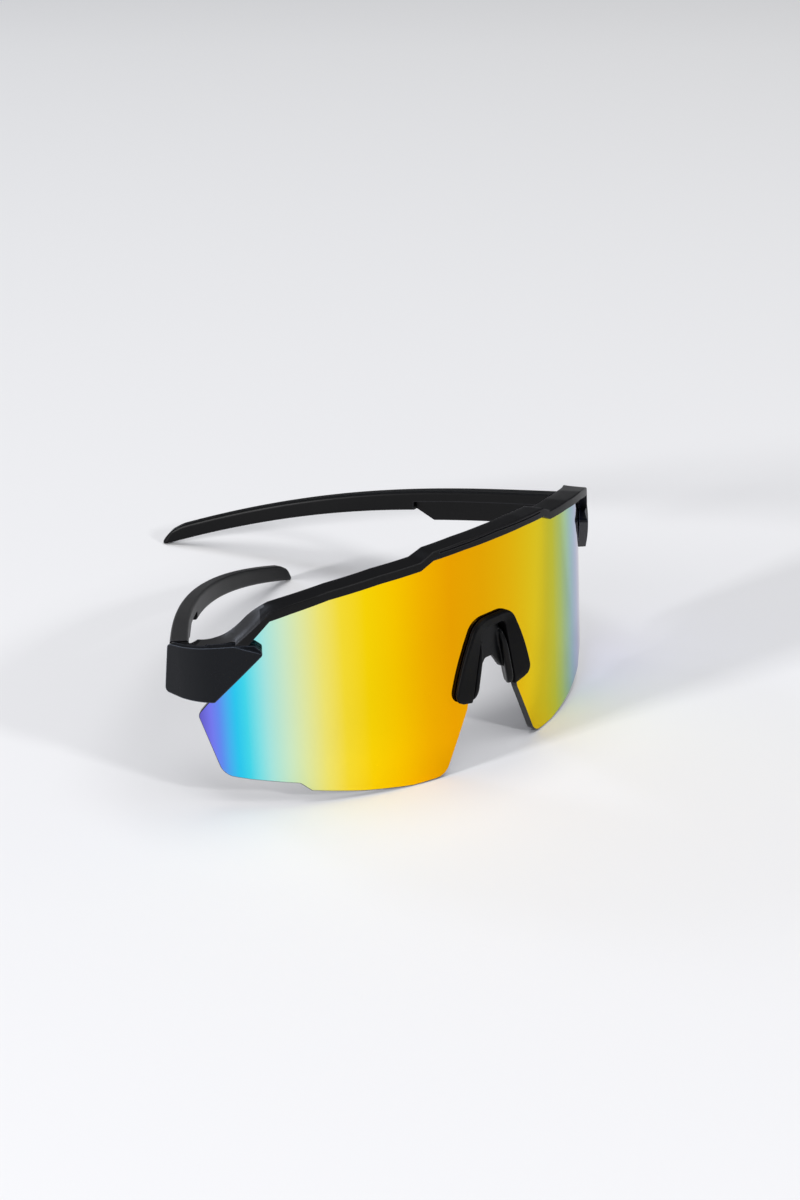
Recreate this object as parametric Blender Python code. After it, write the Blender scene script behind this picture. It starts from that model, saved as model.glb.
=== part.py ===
"""Shield sunglasses with a mirrored one-piece lens.

Metres, +Z up. The front faces -Y and the temples run back along +Y. The glasses lie on a level
surface as they were put down: the left temple is folded part way in, the right one is nearly open.
The front leans back a little, and both hinge pins stand upright.
"""

import math
from functools import cache

import bmesh
import bpy
from mathutils import Matrix, Vector

# Lens: a shield cut from a cylinder that stands on the nose corners
LENS_RADIUS = 0.0850
LENS_WALL = 0.0019
LENS_HALF_ARC = 0.0771
LENS_HEIGHT = 0.0582
FRONT_LEAN = math.radians(3.4)
ARCH_CORNER = 0.0033
NOSE_CORNER = 0.0044
STEP_CORNER = 0.0012
OUTER_CORNER = 0.0046
HOOK_CORNER = 0.0020

# Clearance between pieces, and how far a cutter runs past what it cuts
GAP = 0.0003
OVERRUN = 0.0040

# Brow frame: a bar over the lens, swept down to the hinges
LIP_STAND = 0.0024
BAR_DEPTH = 0.0038
BAR_CHAMFER = 0.0004
BEND_RADIUS = 0.0114
BEND_LEAD = 0.0045
END_HEADING = math.radians(83.94)
SCOOP_DEPTH = 0.0007
GROOVE_WIDTH = 0.0004
GROOVE_DEPTH = 0.0004
GROOVE_DROP = 0.0004
GROOVE_HALF_ARC = 0.0172

# End cover: a clipped-on plate that hides the hinge and holds the lens corner
COVER_STAND = 0.0026
COVER_WALL = 0.0014
COVER_SEAT_LEAD = 0.0036
COVER_POINT_CORNER = 0.0009
COVER_REAR_CORNER = 0.0012
COVER_EDGE = 0.0004
FACET_DEPTH = 0.0011
FACET_RISE = 0.0022

# Hinge: two knuckles tied to the frame, one tongue on the temple, one screw and its nut. The pin
# stands past the lens's end and behind the bar's outer face, and heights are from its middle.
HINGE_LEAD = 0.0062
HINGE_SINK = 0.0014
HINGE_RISE_SHARE = 0.632
KNUCKLE_RADIUS = 0.0019
KNUCKLE_FOOT = -0.0055
KNUCKLE_TOP = 0.0055
TONGUE_FOOT = -0.0029
TONGUE_TOP = 0.0005
SWING_ROOM = 0.00325
TIE_REACH = 0.0052
TIE_INNER = 0.0006
TIE_OUTER = 0.0015
SCREW_RADIUS = 0.0006
HEAD_RADIUS = 0.00115
HEAD_HEIGHT = 0.0008
DRIVER_SLOT = 0.0003
NUT_RADIUS = 0.0012
NUT_HEIGHT = 0.0015
NUT_SIDES = 6

# Temple: bowed in and down from the hinge, with a deep root and a slim tip
TEMPLE_LENGTH = 0.1265
TEMPLE_BUTT = 0.0025
BUTT_RAKE = 0.0012
TEMPLE_BOW = 0.0316
TEMPLE_ROOT_TOP = 0.0055
TEMPLE_OUTER = 0.0035
TEMPLE_WIDTH = 0.0045
TIP_WIDTH = 0.0027
STEM_HEIGHT = 0.0056
TIP_HEIGHT = 0.0039
TIP_SINK = 0.0006
ROOT_DEPTH = 0.0110
PANEL_DEPTH = 0.0091
PANEL_LENGTH = 0.0432
PANEL_RUNOUT = 0.0062
TEMPLE_EDGE = 0.0006
TEMPLE_STEP = 0.0030
TIP_TURN = math.radians(80.0)

# Hinge block: the inner panel of the temple root, with the tongue
RAIL_HEIGHT = 0.0033
BLOCK_WALL = 0.0030
BLOCK_SETBACK = 0.0016
BLOCK_EDGE = 0.0002

# How far each temple is folded in from fully open, and how far an open one splays out
OPEN_SPLAY = math.radians(4.0)
LEFT_FOLD = math.radians(43.8)
RIGHT_FOLD = math.radians(7.4)

# Nose piece: a firm clip over the lens arch, and a soft saddle in it that rests on the nose
CLIP_DROP = 0.0190
CLIP_STAND = 0.0031
CLIP_LIP = 0.0007
CLIP_REACH_TOP = 0.0016
CLIP_REACH_LEG = 0.0039
CLIP_TUCK = 0.0013
CLIP_WAIST = 0.0012
CLIP_DEPTH = 0.0031
CLIP_BACK_REACH = 0.0024
CLIP_BACK_WALL = 0.0009
CLIP_STEP = 0.0014
CLIP_FOOT_SHARE = 0.55
CLIP_GROWTH_SHARE = 0.18
PAD_LENGTH = 0.0165
PAD_STAND = 0.0015
PAD_DEPTH = 0.0070
PAD_REACH = 0.0060
WEB_SETBACK = 0.0012
WEB_WALL = 0.0016
WEB_DROP = 0.0098
WEB_LEG = 0.0014
WEB_START = 0.0140

# Where the frame starts to bend toward the hinge, how far it bends, and where a cover turns thin
BEND_START = LENS_HALF_ARC - BEND_LEAD
BEND_ANGLE = END_HEADING - BEND_START / LENS_RADIUS
COVER_SEAT = LENS_HALF_ARC - COVER_SEAT_LEAD

# How finely curves are cut up, and the angles that tell a sharp edge from a smooth one
ROUND_STEPS = 5
CORNER_STEPS = 2
EDGE_SEGMENTS = 2
PIN_SIDES = 24
SLICE = 0.0035
BAR_SLICE = 0.0022
SHADE_ANGLE = math.radians(30.0)
SOFTEN_ANGLE = math.radians(40.0)
MITRE_ANGLE = math.radians(60.0)

# Points of half the lens, as shares of its half arc and of its height, and the corner at each
LENS_OUTLINE_SHARES = (
    (0.060, 0.622, ARCH_CORNER),
    (0.114, 0.268, 0.0),
    (0.210, 0.000, NOSE_CORNER),
    (0.331, 0.000, 0.0),
    (0.499, 0.027, 0.0),
    (0.664, 0.064, STEP_CORNER),
    (0.699, 0.103, STEP_CORNER),
    (0.856, 0.139, 0.0),
    (0.933, 0.160, OUTER_CORNER),
    (1.000, 0.433, HOOK_CORNER),
    (0.968, 0.481, 0.0),
    (0.946, 0.512, 0.0),
    (0.936, 0.558, 0.0),
    (0.905, 0.636, 0.0),
    (0.856, 0.730, 0.0),
    (0.761, 0.864, HOOK_CORNER),
    (0.581, 0.930, 0.0),
    (0.424, 0.962, 0.0),
    (0.289, 0.978, 0.0),
    (0.245, 1.009, 0.0),
    (0.130, 1.017, 0.0),
)

# Stations of half the bar: arc share, then ridge, rear edge and foot as shares of the lens height,
# then the depth behind the lens as a share of the bar's
BAR_SHARES = (
    (0.000, 1.042, 1.037, 1.000, 0.84),
    (0.130, 1.040, 1.035, 0.998, 0.84),
    (0.245, 1.030, 1.025, 0.990, 0.86),
    (0.289, 0.997, 0.994, 0.959, 1.00),
    (0.424, 0.981, 0.980, 0.943, 1.00),
    (0.581, 0.949, 0.949, 0.911, 1.00),
    (0.700, 0.909, 0.914, 0.869, 1.00),
    (0.761, 0.882, 0.896, 0.845, 1.00),
    (0.816, 0.813, 0.858, 0.765, 1.00),
    (0.868, 0.751, 0.800, 0.687, 0.97),
    (0.908, 0.748, 0.766, 0.610, 0.92),
    (0.953, 0.744, 0.749, 0.540, 0.84),
    (1.031, 0.739, 0.741, 0.536, 0.66),
    (1.062, 0.738, 0.738, 0.536, 0.62),
)

# Where along the half arc the scoop in the swept end starts, is deepest, and ends
SCOOP_SHARES = (0.70, 0.84, 0.98)

# Points of the end cover, as shares of the lens half arc and height, and the corner at each
COVER_OUTLINE_SHARES = (
    (0.783, 0.710, COVER_POINT_CORNER),
    (0.938, 0.505, COVER_POINT_CORNER),
    (1.030, 0.511, 0.0),
    (1.099, 0.520, COVER_REAR_CORNER),
    (1.073, 0.736, COVER_REAR_CORNER),
    (0.973, 0.742, 0.0),
    (0.869, 0.748, 0.0),
    (0.810, 0.743, COVER_POINT_CORNER),
)

# The line on a cover's face where the facet at its point starts: arc and height shares of its ends
FACET_SHARES = ((0.772, 0.702), (0.880, 0.752))

# Terms of the temple's bow and drop along its length, each a share of the whole bow or drop
BOW_SHARES = (0.0, 0.22, 0.78)
DROP_SHARES = (0.80, -0.11, 0.31)

# Each finish: its colour, how rough it is, and how metallic
FINISH_SHARES = {
    "mirror coated polycarbonate": ((0.85, 0.45, 0.05), 0.06, 0.9),
    "black moulded nylon": ((0.012, 0.012, 0.014), 0.38, 0.0),
    "blue black moulded nylon": ((0.011, 0.013, 0.018), 0.32, 0.0),
    "black rubber": ((0.010, 0.010, 0.011), 0.55, 0.0),
    "stainless steel": ((0.55, 0.55, 0.56), 0.28, 1.0),
    "brass": ((0.62, 0.42, 0.16), 0.30, 1.0),
}

# Along a nose pad from its foot: how far its section has grown to full size
PAD_SWELL_SHARES = (0.55, 0.80, 0.94, 1.0, 1.0, 0.97, 0.90, 0.78, 0.60)
# A nose pad's section, from the inner face of the clip: reach outward as a share of the pad's whole
# reach, and depth behind its front as a share of the pad's whole depth
PAD_SECTION_SHARES = (
    (0.00, 0.10),
    (-0.14, 0.02),
    (-0.36, 0.04),
    (-0.44, 0.12),
    (-0.38, 0.32),
    (-0.14, 0.62),
    (0.16, 0.86),
    (0.60, 0.98),
    (0.88, 1.00),
    (1.00, 0.95),
    (0.92, 0.89),
    (0.50, 0.82),
    (0.00, 0.71),
)
# The share of the pad's depth that lies against the clip, and keeps its size toward the ends
PAD_HEEL_SHARE = 0.71


def clear_scene():
    """Removes whatever the scene starts with."""
    for thing in list(bpy.data.objects):
        bpy.data.objects.remove(thing, do_unlink=True)


def finish(name):
    """A plain material from the table of finishes."""
    colour, roughness, metallic = FINISH_SHARES[name]
    material = bpy.data.materials.new(name)
    material.use_nodes = True
    shader = material.node_tree.nodes["Principled BSDF"]
    shader.inputs["Base Color"].default_value = (*colour, 1.0)
    shader.inputs["Roughness"].default_value = roughness
    shader.inputs["Metallic"].default_value = metallic
    return material


def holder(name, parent=None, location=(0.0, 0.0, 0.0), rotation=(0.0, 0.0, 0.0)):
    """An empty that carries other objects."""
    empty = bpy.data.objects.new(name, None)
    empty.parent = parent
    empty.location = location
    empty.rotation_euler = rotation
    bpy.context.scene.collection.objects.link(empty)
    return empty


def piece(name, bm, parent, material=None):
    """An object made from a bmesh with its faces turned outward."""
    bmesh.ops.recalc_face_normals(bm, faces=bm.faces)
    mesh = bpy.data.meshes.new(name)
    bm.to_mesh(mesh)
    bm.free()
    made = bpy.data.objects.new(name, mesh)
    made.parent = parent
    bpy.context.scene.collection.objects.link(made)
    if material:
        mesh.materials.append(material)
        mesh.shade_smooth()
        mesh.set_sharp_from_angle(angle=SHADE_ANGLE)
    else:
        made.hide_render = True
        made.display_type = "WIRE"
    return made


def combine(target, tool, operation):
    """Adds the tool to the target, or takes it away."""
    step = target.modifiers.new(f"{operation.lower()} {tool.name}", "BOOLEAN")
    step.operation = operation
    step.object = tool


def cut(target, tool):
    """Takes the tool away from the target."""
    combine(target, tool, "DIFFERENCE")


def join(target, tool):
    """Adds the tool to the target."""
    combine(target, tool, "UNION")


def soften(target, width, segments=EDGE_SEGMENTS):
    """Rounds the sharp edges."""
    step = target.modifiers.new("soften", "BEVEL")
    step.width = width
    step.segments = segments
    step.limit_method = "ANGLE"
    step.angle_limit = SOFTEN_ANGLE


def rounded(points, steps=ROUND_STEPS):
    """The outline of (across, up, corner radius) points with each corner turned into an arc."""
    outline = []
    count = len(points)
    for index, (across, up, corner) in enumerate(points):
        here = Vector((across, up))
        if not corner:
            outline.append(here)
            continue
        before = (Vector(points[index - 1][:2]) - here).normalized()
        after = (Vector(points[(index + 1) % count][:2]) - here).normalized()
        half = before.angle(after) / 2
        centre = here + (before + after).normalized() * corner / math.sin(half)
        first = here + before * corner / math.tan(half) - centre
        last = here + after * corner / math.tan(half) - centre
        outline += [centre + corner * first.slerp(last, step / steps) for step in range(steps + 1)]
    return outline


def grown(outline, margin):
    """The outline moved outward by the margin."""
    area = sum(a.cross(b) for a, b in zip(outline, outline[1:] + outline[:1]))
    side = math.copysign(margin, area)
    moved = []
    for index, here in enumerate(outline):
        into = (here - outline[index - 1]).normalized()
        out = (outline[(index + 1) % len(outline)] - here).normalized()
        normal = (Vector((into.y, -into.x)) + Vector((out.y, -out.x))).normalized()
        spread = max(normal.dot(Vector((into.y, -into.x))), math.cos(MITRE_ANGLE))
        moved.append(here + normal * side / spread)
    return moved


def mirrored(outline):
    """A closed outline made from its right half, which starts and ends near the middle."""
    return list(outline) + [Vector((-spot.x, spot.y)) for spot in reversed(outline)]


def plate(outline, low, high, place, slice_width=SLICE):
    """A sheet of the outline, from low to high, sliced across and laid on a surface."""
    bm = bmesh.new()
    face = bm.faces.new([bm.verts.new((spot.x, spot.y, low)) for spot in outline])
    raised = bmesh.ops.extrude_face_region(bm, geom=[face])["geom"]
    for vert in raised:
        if isinstance(vert, bmesh.types.BMVert):
            vert.co.z = high
    first = min(spot.x for spot in outline)
    last = max(spot.x for spot in outline)
    slices = max(1, math.ceil((last - first) / slice_width))
    wanted = [first + (last - first) * index / slices for index in range(1, slices)]
    wanted = sorted(wanted + [spot.x for spot in outline])
    done = first
    for across in wanted:
        if across - done < GAP / 3 or last - across < GAP / 3:
            continue
        done = across
        bmesh.ops.bisect_plane(
            bm,
            geom=bm.verts[:] + bm.edges[:] + bm.faces[:],
            plane_co=(across, 0.0, 0.0),
            plane_no=(1.0, 0.0, 0.0),
            dist=GAP / 1000,
        )
    for vert in bm.verts:
        vert.co = place(vert.co.x, vert.co.z, vert.co.y)
    return bm


def loft(rings):
    """A solid skinned over rings of equal count, closed by a cap at each end."""
    bm = bmesh.new()
    laid = [[bm.verts.new(spot) for spot in ring] for ring in rings]
    for ring, following in zip(laid, laid[1:]):
        for index in range(len(ring)):
            after = (index + 1) % len(ring)
            bm.faces.new((ring[index], ring[after], following[after], following[index]))
    bm.faces.new(laid[0])
    bm.faces.new(list(reversed(laid[-1])))
    return bm


def pin(radius, foot, top, sides=PIN_SIDES):
    """An upright round pin about the origin."""
    bm = bmesh.new()
    middle = Matrix.Translation((0.0, 0.0, (foot + top) / 2))
    bmesh.ops.create_cone(
        bm,
        cap_ends=True,
        segments=sides,
        radius1=radius,
        radius2=radius,
        depth=top - foot,
        matrix=middle,
    )
    return bm


def block(low, high):
    """A box between two corners."""
    bm = bmesh.new()
    size = Vector(high) - Vector(low)
    middle = (Vector(high) + Vector(low)) / 2
    matrix = Matrix.Translation(middle) @ Matrix.Diagonal((*size, 1.0))
    bmesh.ops.create_cube(bm, size=1.0, matrix=matrix)
    return bm


def on_lens(across, stand, up):
    """A place on the lens cylinder: arc length from the middle, distance outward, and height."""
    angle = across / LENS_RADIUS
    reach = LENS_RADIUS + stand
    return Vector((reach * math.sin(angle), LENS_RADIUS - reach * math.cos(angle), up))


def on_front(across, stand, up):
    """As on_lens, but past the lens corner it bends back toward the hinge and then runs straight."""
    side = math.copysign(1.0, across)
    along = abs(across)
    if along <= BEND_START:
        return on_lens(across, stand, up)
    start = BEND_START / LENS_RADIUS
    turn = min((along - BEND_START) / BEND_RADIUS, BEND_ANGLE)
    heading = start + turn
    centre = on_lens(BEND_START, 0.0, up) - BEND_RADIUS * Vector((math.sin(start), -math.cos(start), 0.0))
    reach = BEND_RADIUS + stand
    spot = centre + reach * Vector((math.sin(heading), -math.cos(heading), 0.0))
    rest = along - BEND_START - turn * BEND_RADIUS
    spot += rest * Vector((math.cos(heading), math.sin(heading), 0.0))
    return Vector((side * spot.x, spot.y, spot.z))


def lens_half():
    """The right half of the lens outline, with its corners rounded."""
    points = [(0.0, LENS_OUTLINE_SHARES[0][1] * LENS_HEIGHT, 0.0)]
    for across, up, corner in LENS_OUTLINE_SHARES:
        points.append((across * LENS_HALF_ARC, up * LENS_HEIGHT, corner))
    points.append((0.0, LENS_OUTLINE_SHARES[-1][1] * LENS_HEIGHT, 0.0))
    return rounded(points)[1:-1]


def cover_outline(side):
    """The outline of an end cover on the right (side 1) or the left (side -1)."""
    points = [(a * LENS_HALF_ARC, h * LENS_HEIGHT, c) for a, h, c in COVER_OUTLINE_SHARES]
    return [Vector((side * spot.x, spot.y)) for spot in rounded(points)]


@cache
def front_drop():
    """How far below its own base line the leaning lens reaches."""
    lowest = 0.0
    for spot in lens_half():
        inner = on_lens(spot.x, -LENS_WALL, spot.y)
        lowest = min(lowest, inner.z * math.cos(FRONT_LEAN) - inner.y * math.sin(FRONT_LEAN))
    return lowest


def hinge_spot(side):
    """The middle of a hinge pin, past the lens's end; its height follows the leaning bar's."""
    spot = on_front(side * (LENS_HALF_ARC + HINGE_LEAD), -HINGE_SINK, HINGE_RISE_SHARE * LENS_HEIGHT)
    rise = spot.z * math.cos(FRONT_LEAN) - spot.y * math.sin(FRONT_LEAN)
    return Vector((spot.x, spot.y, rise - front_drop()))


def lens(front, material):
    """The mirrored shield."""
    outline = mirrored(lens_half())
    return piece("mirror_lens", plate(outline, -LENS_WALL, 0.0, on_lens), front, material)


def bar_ring(side, arc, ridge, rear, foot, depth):
    """One section of the bar: its front, its top, hollowed where it sweeps down, and its rear."""
    across = side * arc * LENS_HALF_ARC
    ridge, rear, foot = (share * LENS_HEIGHT for share in (ridge, rear, foot))
    back = -depth * BAR_DEPTH
    start, deepest, end = SCOOP_SHARES
    ramp = min((arc - start) / (deepest - start), (end - arc) / (end - deepest))
    sag = SCOOP_DEPTH * max(0.0, ramp)
    edge = back + BAR_CHAMFER
    third, half = (LIP_STAND - edge) / 3, (ridge + rear) / 2
    points = (
        (LIP_STAND, foot),
        (LIP_STAND, ridge),
        (LIP_STAND - third, half + (ridge - half) / 3 - sag),
        (edge + third, half + (rear - half) / 3 - sag),
        (edge, rear),
        (back, rear - BAR_CHAMFER),
        (back, foot),
    )
    return [on_front(across, stand, up) for stand, up in points]


def bar_stations():
    """The bar's table with stations added between its rows, and its rear edge run as a smooth curve."""
    rows = []
    last = len(BAR_SHARES) - 1
    for index in range(last):
        row, following = BAR_SHARES[index], BAR_SHARES[index + 1]
        before, after = BAR_SHARES[max(index - 1, 0)], BAR_SHARES[min(index + 2, last)]
        pieces = max(1, round((following[0] - row[0]) * LENS_HALF_ARC / BAR_SLICE))
        for step in range(pieces):
            share = step / pieces
            station = [a + (b - a) * share for a, b in zip(row, following)]
            if row[0] >= SCOOP_SHARES[0]:
                leave = (following[2] - before[2]) / (following[0] - before[0]) * (following[0] - row[0])
                arrive = (after[2] - row[2]) / (after[0] - row[0]) * (following[0] - row[0])
                rise = following[2] - row[2]
                bend = share * (1 - share)
                station[2] += bend * ((leave - rise) * (1 - share) - (arrive - rise) * share)
            rows.append(station)
    rows.append(list(BAR_SHARES[last]))
    return rows


def hinge_cutters(side, hinge):
    """What the frame's hinge end gains and loses: (joined, removed)."""
    name = "right" if side > 0 else "left"
    swing = pin(SWING_ROOM, KNUCKLE_FOOT - OVERRUN, KNUCKLE_TOP + OVERRUN)
    room = piece(f"swing_room_{name}", swing, hinge)
    joined = []
    for label, foot, top in (
        ("lower", KNUCKLE_FOOT, TONGUE_FOOT - GAP),
        ("upper", TONGUE_TOP + GAP, KNUCKLE_TOP),
    ):
        joined.append(piece(f"{label}_knuckle_{name}", pin(KNUCKLE_RADIUS, foot, top), hinge))
        edges = sorted((-side * TIE_INNER, side * TIE_OUTER))
        low = (edges[0], -TIE_REACH, foot + GAP / 2)
        high = (edges[1], 0.0, top - GAP / 2)
        joined.append(piece(f"{label}_tie_{name}", block(low, high), hinge))
    nut_top = TONGUE_TOP + GAP + NUT_HEIGHT + 2 * GAP
    bore = piece(f"screw_bore_{name}", pin(SCREW_RADIUS + GAP, KNUCKLE_FOOT - OVERRUN, nut_top + GAP), hinge)
    recess = pin(HEAD_RADIUS + GAP, KNUCKLE_FOOT - OVERRUN, KNUCKLE_FOOT + HEAD_HEIGHT + GAP)
    pocket = pin(NUT_RADIUS + GAP, TONGUE_TOP, nut_top)
    removed = [
        bore,
        piece(f"head_recess_{name}", recess, hinge),
        piece(f"nut_pocket_{name}", pocket, hinge),
    ]
    return room, joined, removed


def cover_room(side, front, rear):
    """The space that an end cover takes from the frame, in front of the seat or behind it."""
    name = "right" if side > 0 else "left"
    outline = grown(cover_outline(side), GAP)
    if rear:
        limit = COVER_SEAT
        shaped = [Vector((side * max(abs(spot.x), limit), spot.y)) for spot in outline]
        shaped = [spot for index, spot in enumerate(shaped) if (spot - shaped[index - 1]).length > GAP / 10]
        low = COVER_STAND - COVER_WALL - GAP
        return piece(f"cover_room_rear_{name}", plate(shaped, low, COVER_STAND + OVERRUN, on_front), front)
    limit = COVER_SEAT + GAP
    shaped = [Vector((side * min(abs(spot.x), limit), spot.y)) for spot in outline]
    shaped = [spot for index, spot in enumerate(shaped) if (spot - shaped[index - 1]).length > GAP / 10]
    return piece(f"cover_room_front_{name}", plate(shaped, 0.0, COVER_STAND + OVERRUN, on_front), front)


def brow_frame(front, hinges, material):
    """The bar over the lens, with its slot, its swept ends and its hinge knuckles."""
    half = bar_stations()
    rings = [bar_ring(-1, *row) for row in reversed(half)] + [bar_ring(1, *row) for row in half[1:]]
    frame = piece("brow_frame", loft(rings), front, material)
    slot = plate(grown(mirrored(lens_half()), GAP), -LENS_WALL - GAP, GAP, on_lens)
    cut(frame, piece("lens_slot", slot, front))
    middle = BAR_SHARES[0][1] * LENS_HEIGHT - GROOVE_DROP
    end = BAR_SHARES[2][1] * LENS_HEIGHT - GROOVE_DROP
    groove = [
        Vector((-GROOVE_HALF_ARC, end - GROOVE_WIDTH)),
        Vector((0.0, middle - GROOVE_WIDTH)),
        Vector((GROOVE_HALF_ARC, end - GROOVE_WIDTH)),
        Vector((GROOVE_HALF_ARC, end)),
        Vector((0.0, middle)),
        Vector((-GROOVE_HALF_ARC, end)),
    ]
    floor = LIP_STAND - GROOVE_DEPTH
    cut(frame, piece("lip_groove", plate(groove, floor, LIP_STAND + OVERRUN, on_front), front))
    for side, hinge in hinges:
        room, joined, removed = hinge_cutters(side, hinge)
        cut(frame, room)
        for extra in joined:
            join(frame, extra)
        for tool in removed:
            cut(frame, tool)
        cut(frame, cover_room(side, front, rear=False))
        cut(frame, cover_room(side, front, rear=True))
    return frame


def end_cover(side, front, material):
    """The plate over the hinge, thick over the lens corner and thin over the knuckles."""
    name = "right" if side > 0 else "left"
    cover = piece(f"end_cover_{name}", plate(cover_outline(side), GAP, COVER_STAND, on_front), front, material)
    reach = max(abs(spot.x) for spot in cover_outline(side)) + OVERRUN
    seat = [
        Vector((side * COVER_SEAT, 0.0)),
        Vector((side * reach, 0.0)),
        Vector((side * reach, LENS_HEIGHT)),
        Vector((side * COVER_SEAT, LENS_HEIGHT)),
    ]
    cut(cover, piece(f"cover_seat_{name}", plate(seat, -LENS_WALL, COVER_STAND - COVER_WALL, on_front), front))
    rings = []
    for arc, rise in FACET_SHARES:
        across, up = side * arc * LENS_HALF_ARC, rise * LENS_HEIGHT
        rings.append(
            [
                on_front(across, COVER_STAND, up),
                on_front(across, COVER_STAND - FACET_DEPTH, up + FACET_RISE),
                on_front(across, COVER_STAND + FACET_DEPTH, up + FACET_RISE),
                on_front(across, COVER_STAND + FACET_DEPTH, up),
            ]
        )
    cut(cover, piece(f"cover_facet_{name}", loft(rings), front))
    soften(cover, COVER_EDGE)
    return cover


def bow(along):
    """How far the temple has bowed in at this distance from the hinge."""
    share = along / TEMPLE_LENGTH
    return TEMPLE_BOW * sum(term * share ** (power + 1) for power, term in enumerate(BOW_SHARES))


def temple_top(along):
    """The top edge's height, from the hinge's middle, at this distance behind the hinge."""
    share = along / TEMPLE_LENGTH
    drop = hinge_spot(1).z + TEMPLE_ROOT_TOP - TIP_HEIGHT + TIP_SINK
    return TEMPLE_ROOT_TOP - drop * sum(term * share ** (power + 1) for power, term in enumerate(DROP_SHARES))


def temple_foot(along):
    """The lower edge's height, from the hinge's middle, at this distance behind the hinge."""
    share = along / TEMPLE_LENGTH
    stem = STEM_HEIGHT + (TIP_HEIGHT - STEM_HEIGHT) * share
    deep = ROOT_DEPTH + (PANEL_DEPTH - ROOT_DEPTH) * min(along / (PANEL_LENGTH / 2), 1.0)
    past = min(max((along - PANEL_LENGTH) / PANEL_RUNOUT, 0.0), 1.0)
    return temple_top(along) - (deep + (stem - deep) * past)


def on_temple(side):
    """The map from (along, inward, up) to the temple's own frame, whose origin is on the hinge axis."""

    def place(along, inward, up):
        share = max(along, 0.0) / TEMPLE_LENGTH
        ahead = bow(along + GAP) - bow(along - GAP)
        turn = math.atan2(ahead, 2 * GAP)
        narrowing = (TEMPLE_WIDTH + (TIP_WIDTH - TEMPLE_WIDTH) * share) / TEMPLE_WIDTH
        centre = TEMPLE_OUTER - TEMPLE_WIDTH / 2
        inner = inward * narrowing
        x = centre - bow(along) - inner * math.cos(turn)
        y = along - inner * math.sin(turn)
        return Vector((side * x, y, up))

    return place


def temple_ring(along, swell, place):
    """One section of the temple, crisp at the root and round toward the tip."""
    share = along / TEMPLE_LENGTH
    half = TEMPLE_WIDTH / 2
    top, foot = temple_top(along), temple_foot(along)
    middle = (top + foot) / 2
    edge = TEMPLE_EDGE * (1.0 + share)
    corners = [(half, top, edge), (half, foot, edge), (-half, foot, edge), (-half, top, edge)]
    rake = BUTT_RAKE / (temple_top(TEMPLE_BUTT) - temple_foot(TEMPLE_BUTT))
    ring = []
    for spot in rounded(corners, steps=CORNER_STEPS):
        back = rake * (top - spot.y) * max(0.0, 1.0 - (along - TEMPLE_BUTT) / TEMPLE_STEP / 2)
        ring.append(place(along + back, spot.x * swell, middle + (spot.y - middle) * swell))
    return ring


def temple_rings(place):
    """The temple's sections from its butt to its rounded tip."""
    shelf = (PANEL_LENGTH / 2, PANEL_LENGTH, PANEL_LENGTH + PANEL_RUNOUT)
    straight = TEMPLE_LENGTH - TIP_HEIGHT / 2
    steps = round((straight - TEMPLE_BUTT) / TEMPLE_STEP)
    stops = [TEMPLE_BUTT + (straight - TEMPLE_BUTT) * index / steps for index in range(steps + 1)]
    stops = [stop for stop in stops if all(abs(stop - mark) > TEMPLE_STEP / 2 for mark in shelf)]
    rings = [temple_ring(stop, 1.0, place) for stop in sorted(stops + list(shelf))]
    for step in range(1, ROUND_STEPS + 1):
        turn = TIP_TURN * step / ROUND_STEPS
        rings.append(temple_ring(straight + TIP_HEIGHT / 2 * math.sin(turn), math.cos(turn), place))
    return rings


def block_outline(margin):
    """The hinge block seen from the side; the margin grows it into the room that it needs."""
    end = PANEL_LENGTH + PANEL_RUNOUT
    count = math.ceil(end / TEMPLE_STEP)
    stops = [TEMPLE_BUTT + (end - TEMPLE_BUTT) * index / count for index in range(count + 1)]
    foot = margin + OVERRUN if margin else 0.0
    upper = [Vector((along, temple_top(along) - RAIL_HEIGHT + margin)) for along in stops]
    marks = [stop for stop in stops[1:] if stop < PANEL_LENGTH - GAP] + [PANEL_LENGTH]
    lower = [Vector((along, temple_foot(along) - foot)) for along in reversed(marks)]
    butt = Vector((TEMPLE_BUTT + BUTT_RAKE, temple_foot(TEMPLE_BUTT) - foot))
    outline = upper + [Vector((end + margin, temple_foot(end) + GAP - foot / 2))] + lower + [butt]
    if margin:
        outline[0].x -= OVERRUN / 2
        outline[-1].x -= OVERRUN / 2
    return outline


def temple(side, hinge, material):
    """The long outer arm, with the room for its hinge block cut from the inner face."""
    name = "right" if side > 0 else "left"
    place = on_temple(side)
    half = TEMPLE_WIDTH / 2
    arm = piece(f"temple_{name}", loft(temple_rings(place)), hinge, material)
    room = plate(block_outline(GAP), half - BLOCK_WALL - GAP, half + OVERRUN, place)
    cut(arm, piece(f"block_room_{name}", room, hinge))
    tongue_room = pin(KNUCKLE_RADIUS + GAP, KNUCKLE_FOOT - OVERRUN, KNUCKLE_TOP + OVERRUN)
    cut(arm, piece(f"knuckle_room_{name}", tongue_room, hinge))
    return arm


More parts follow.
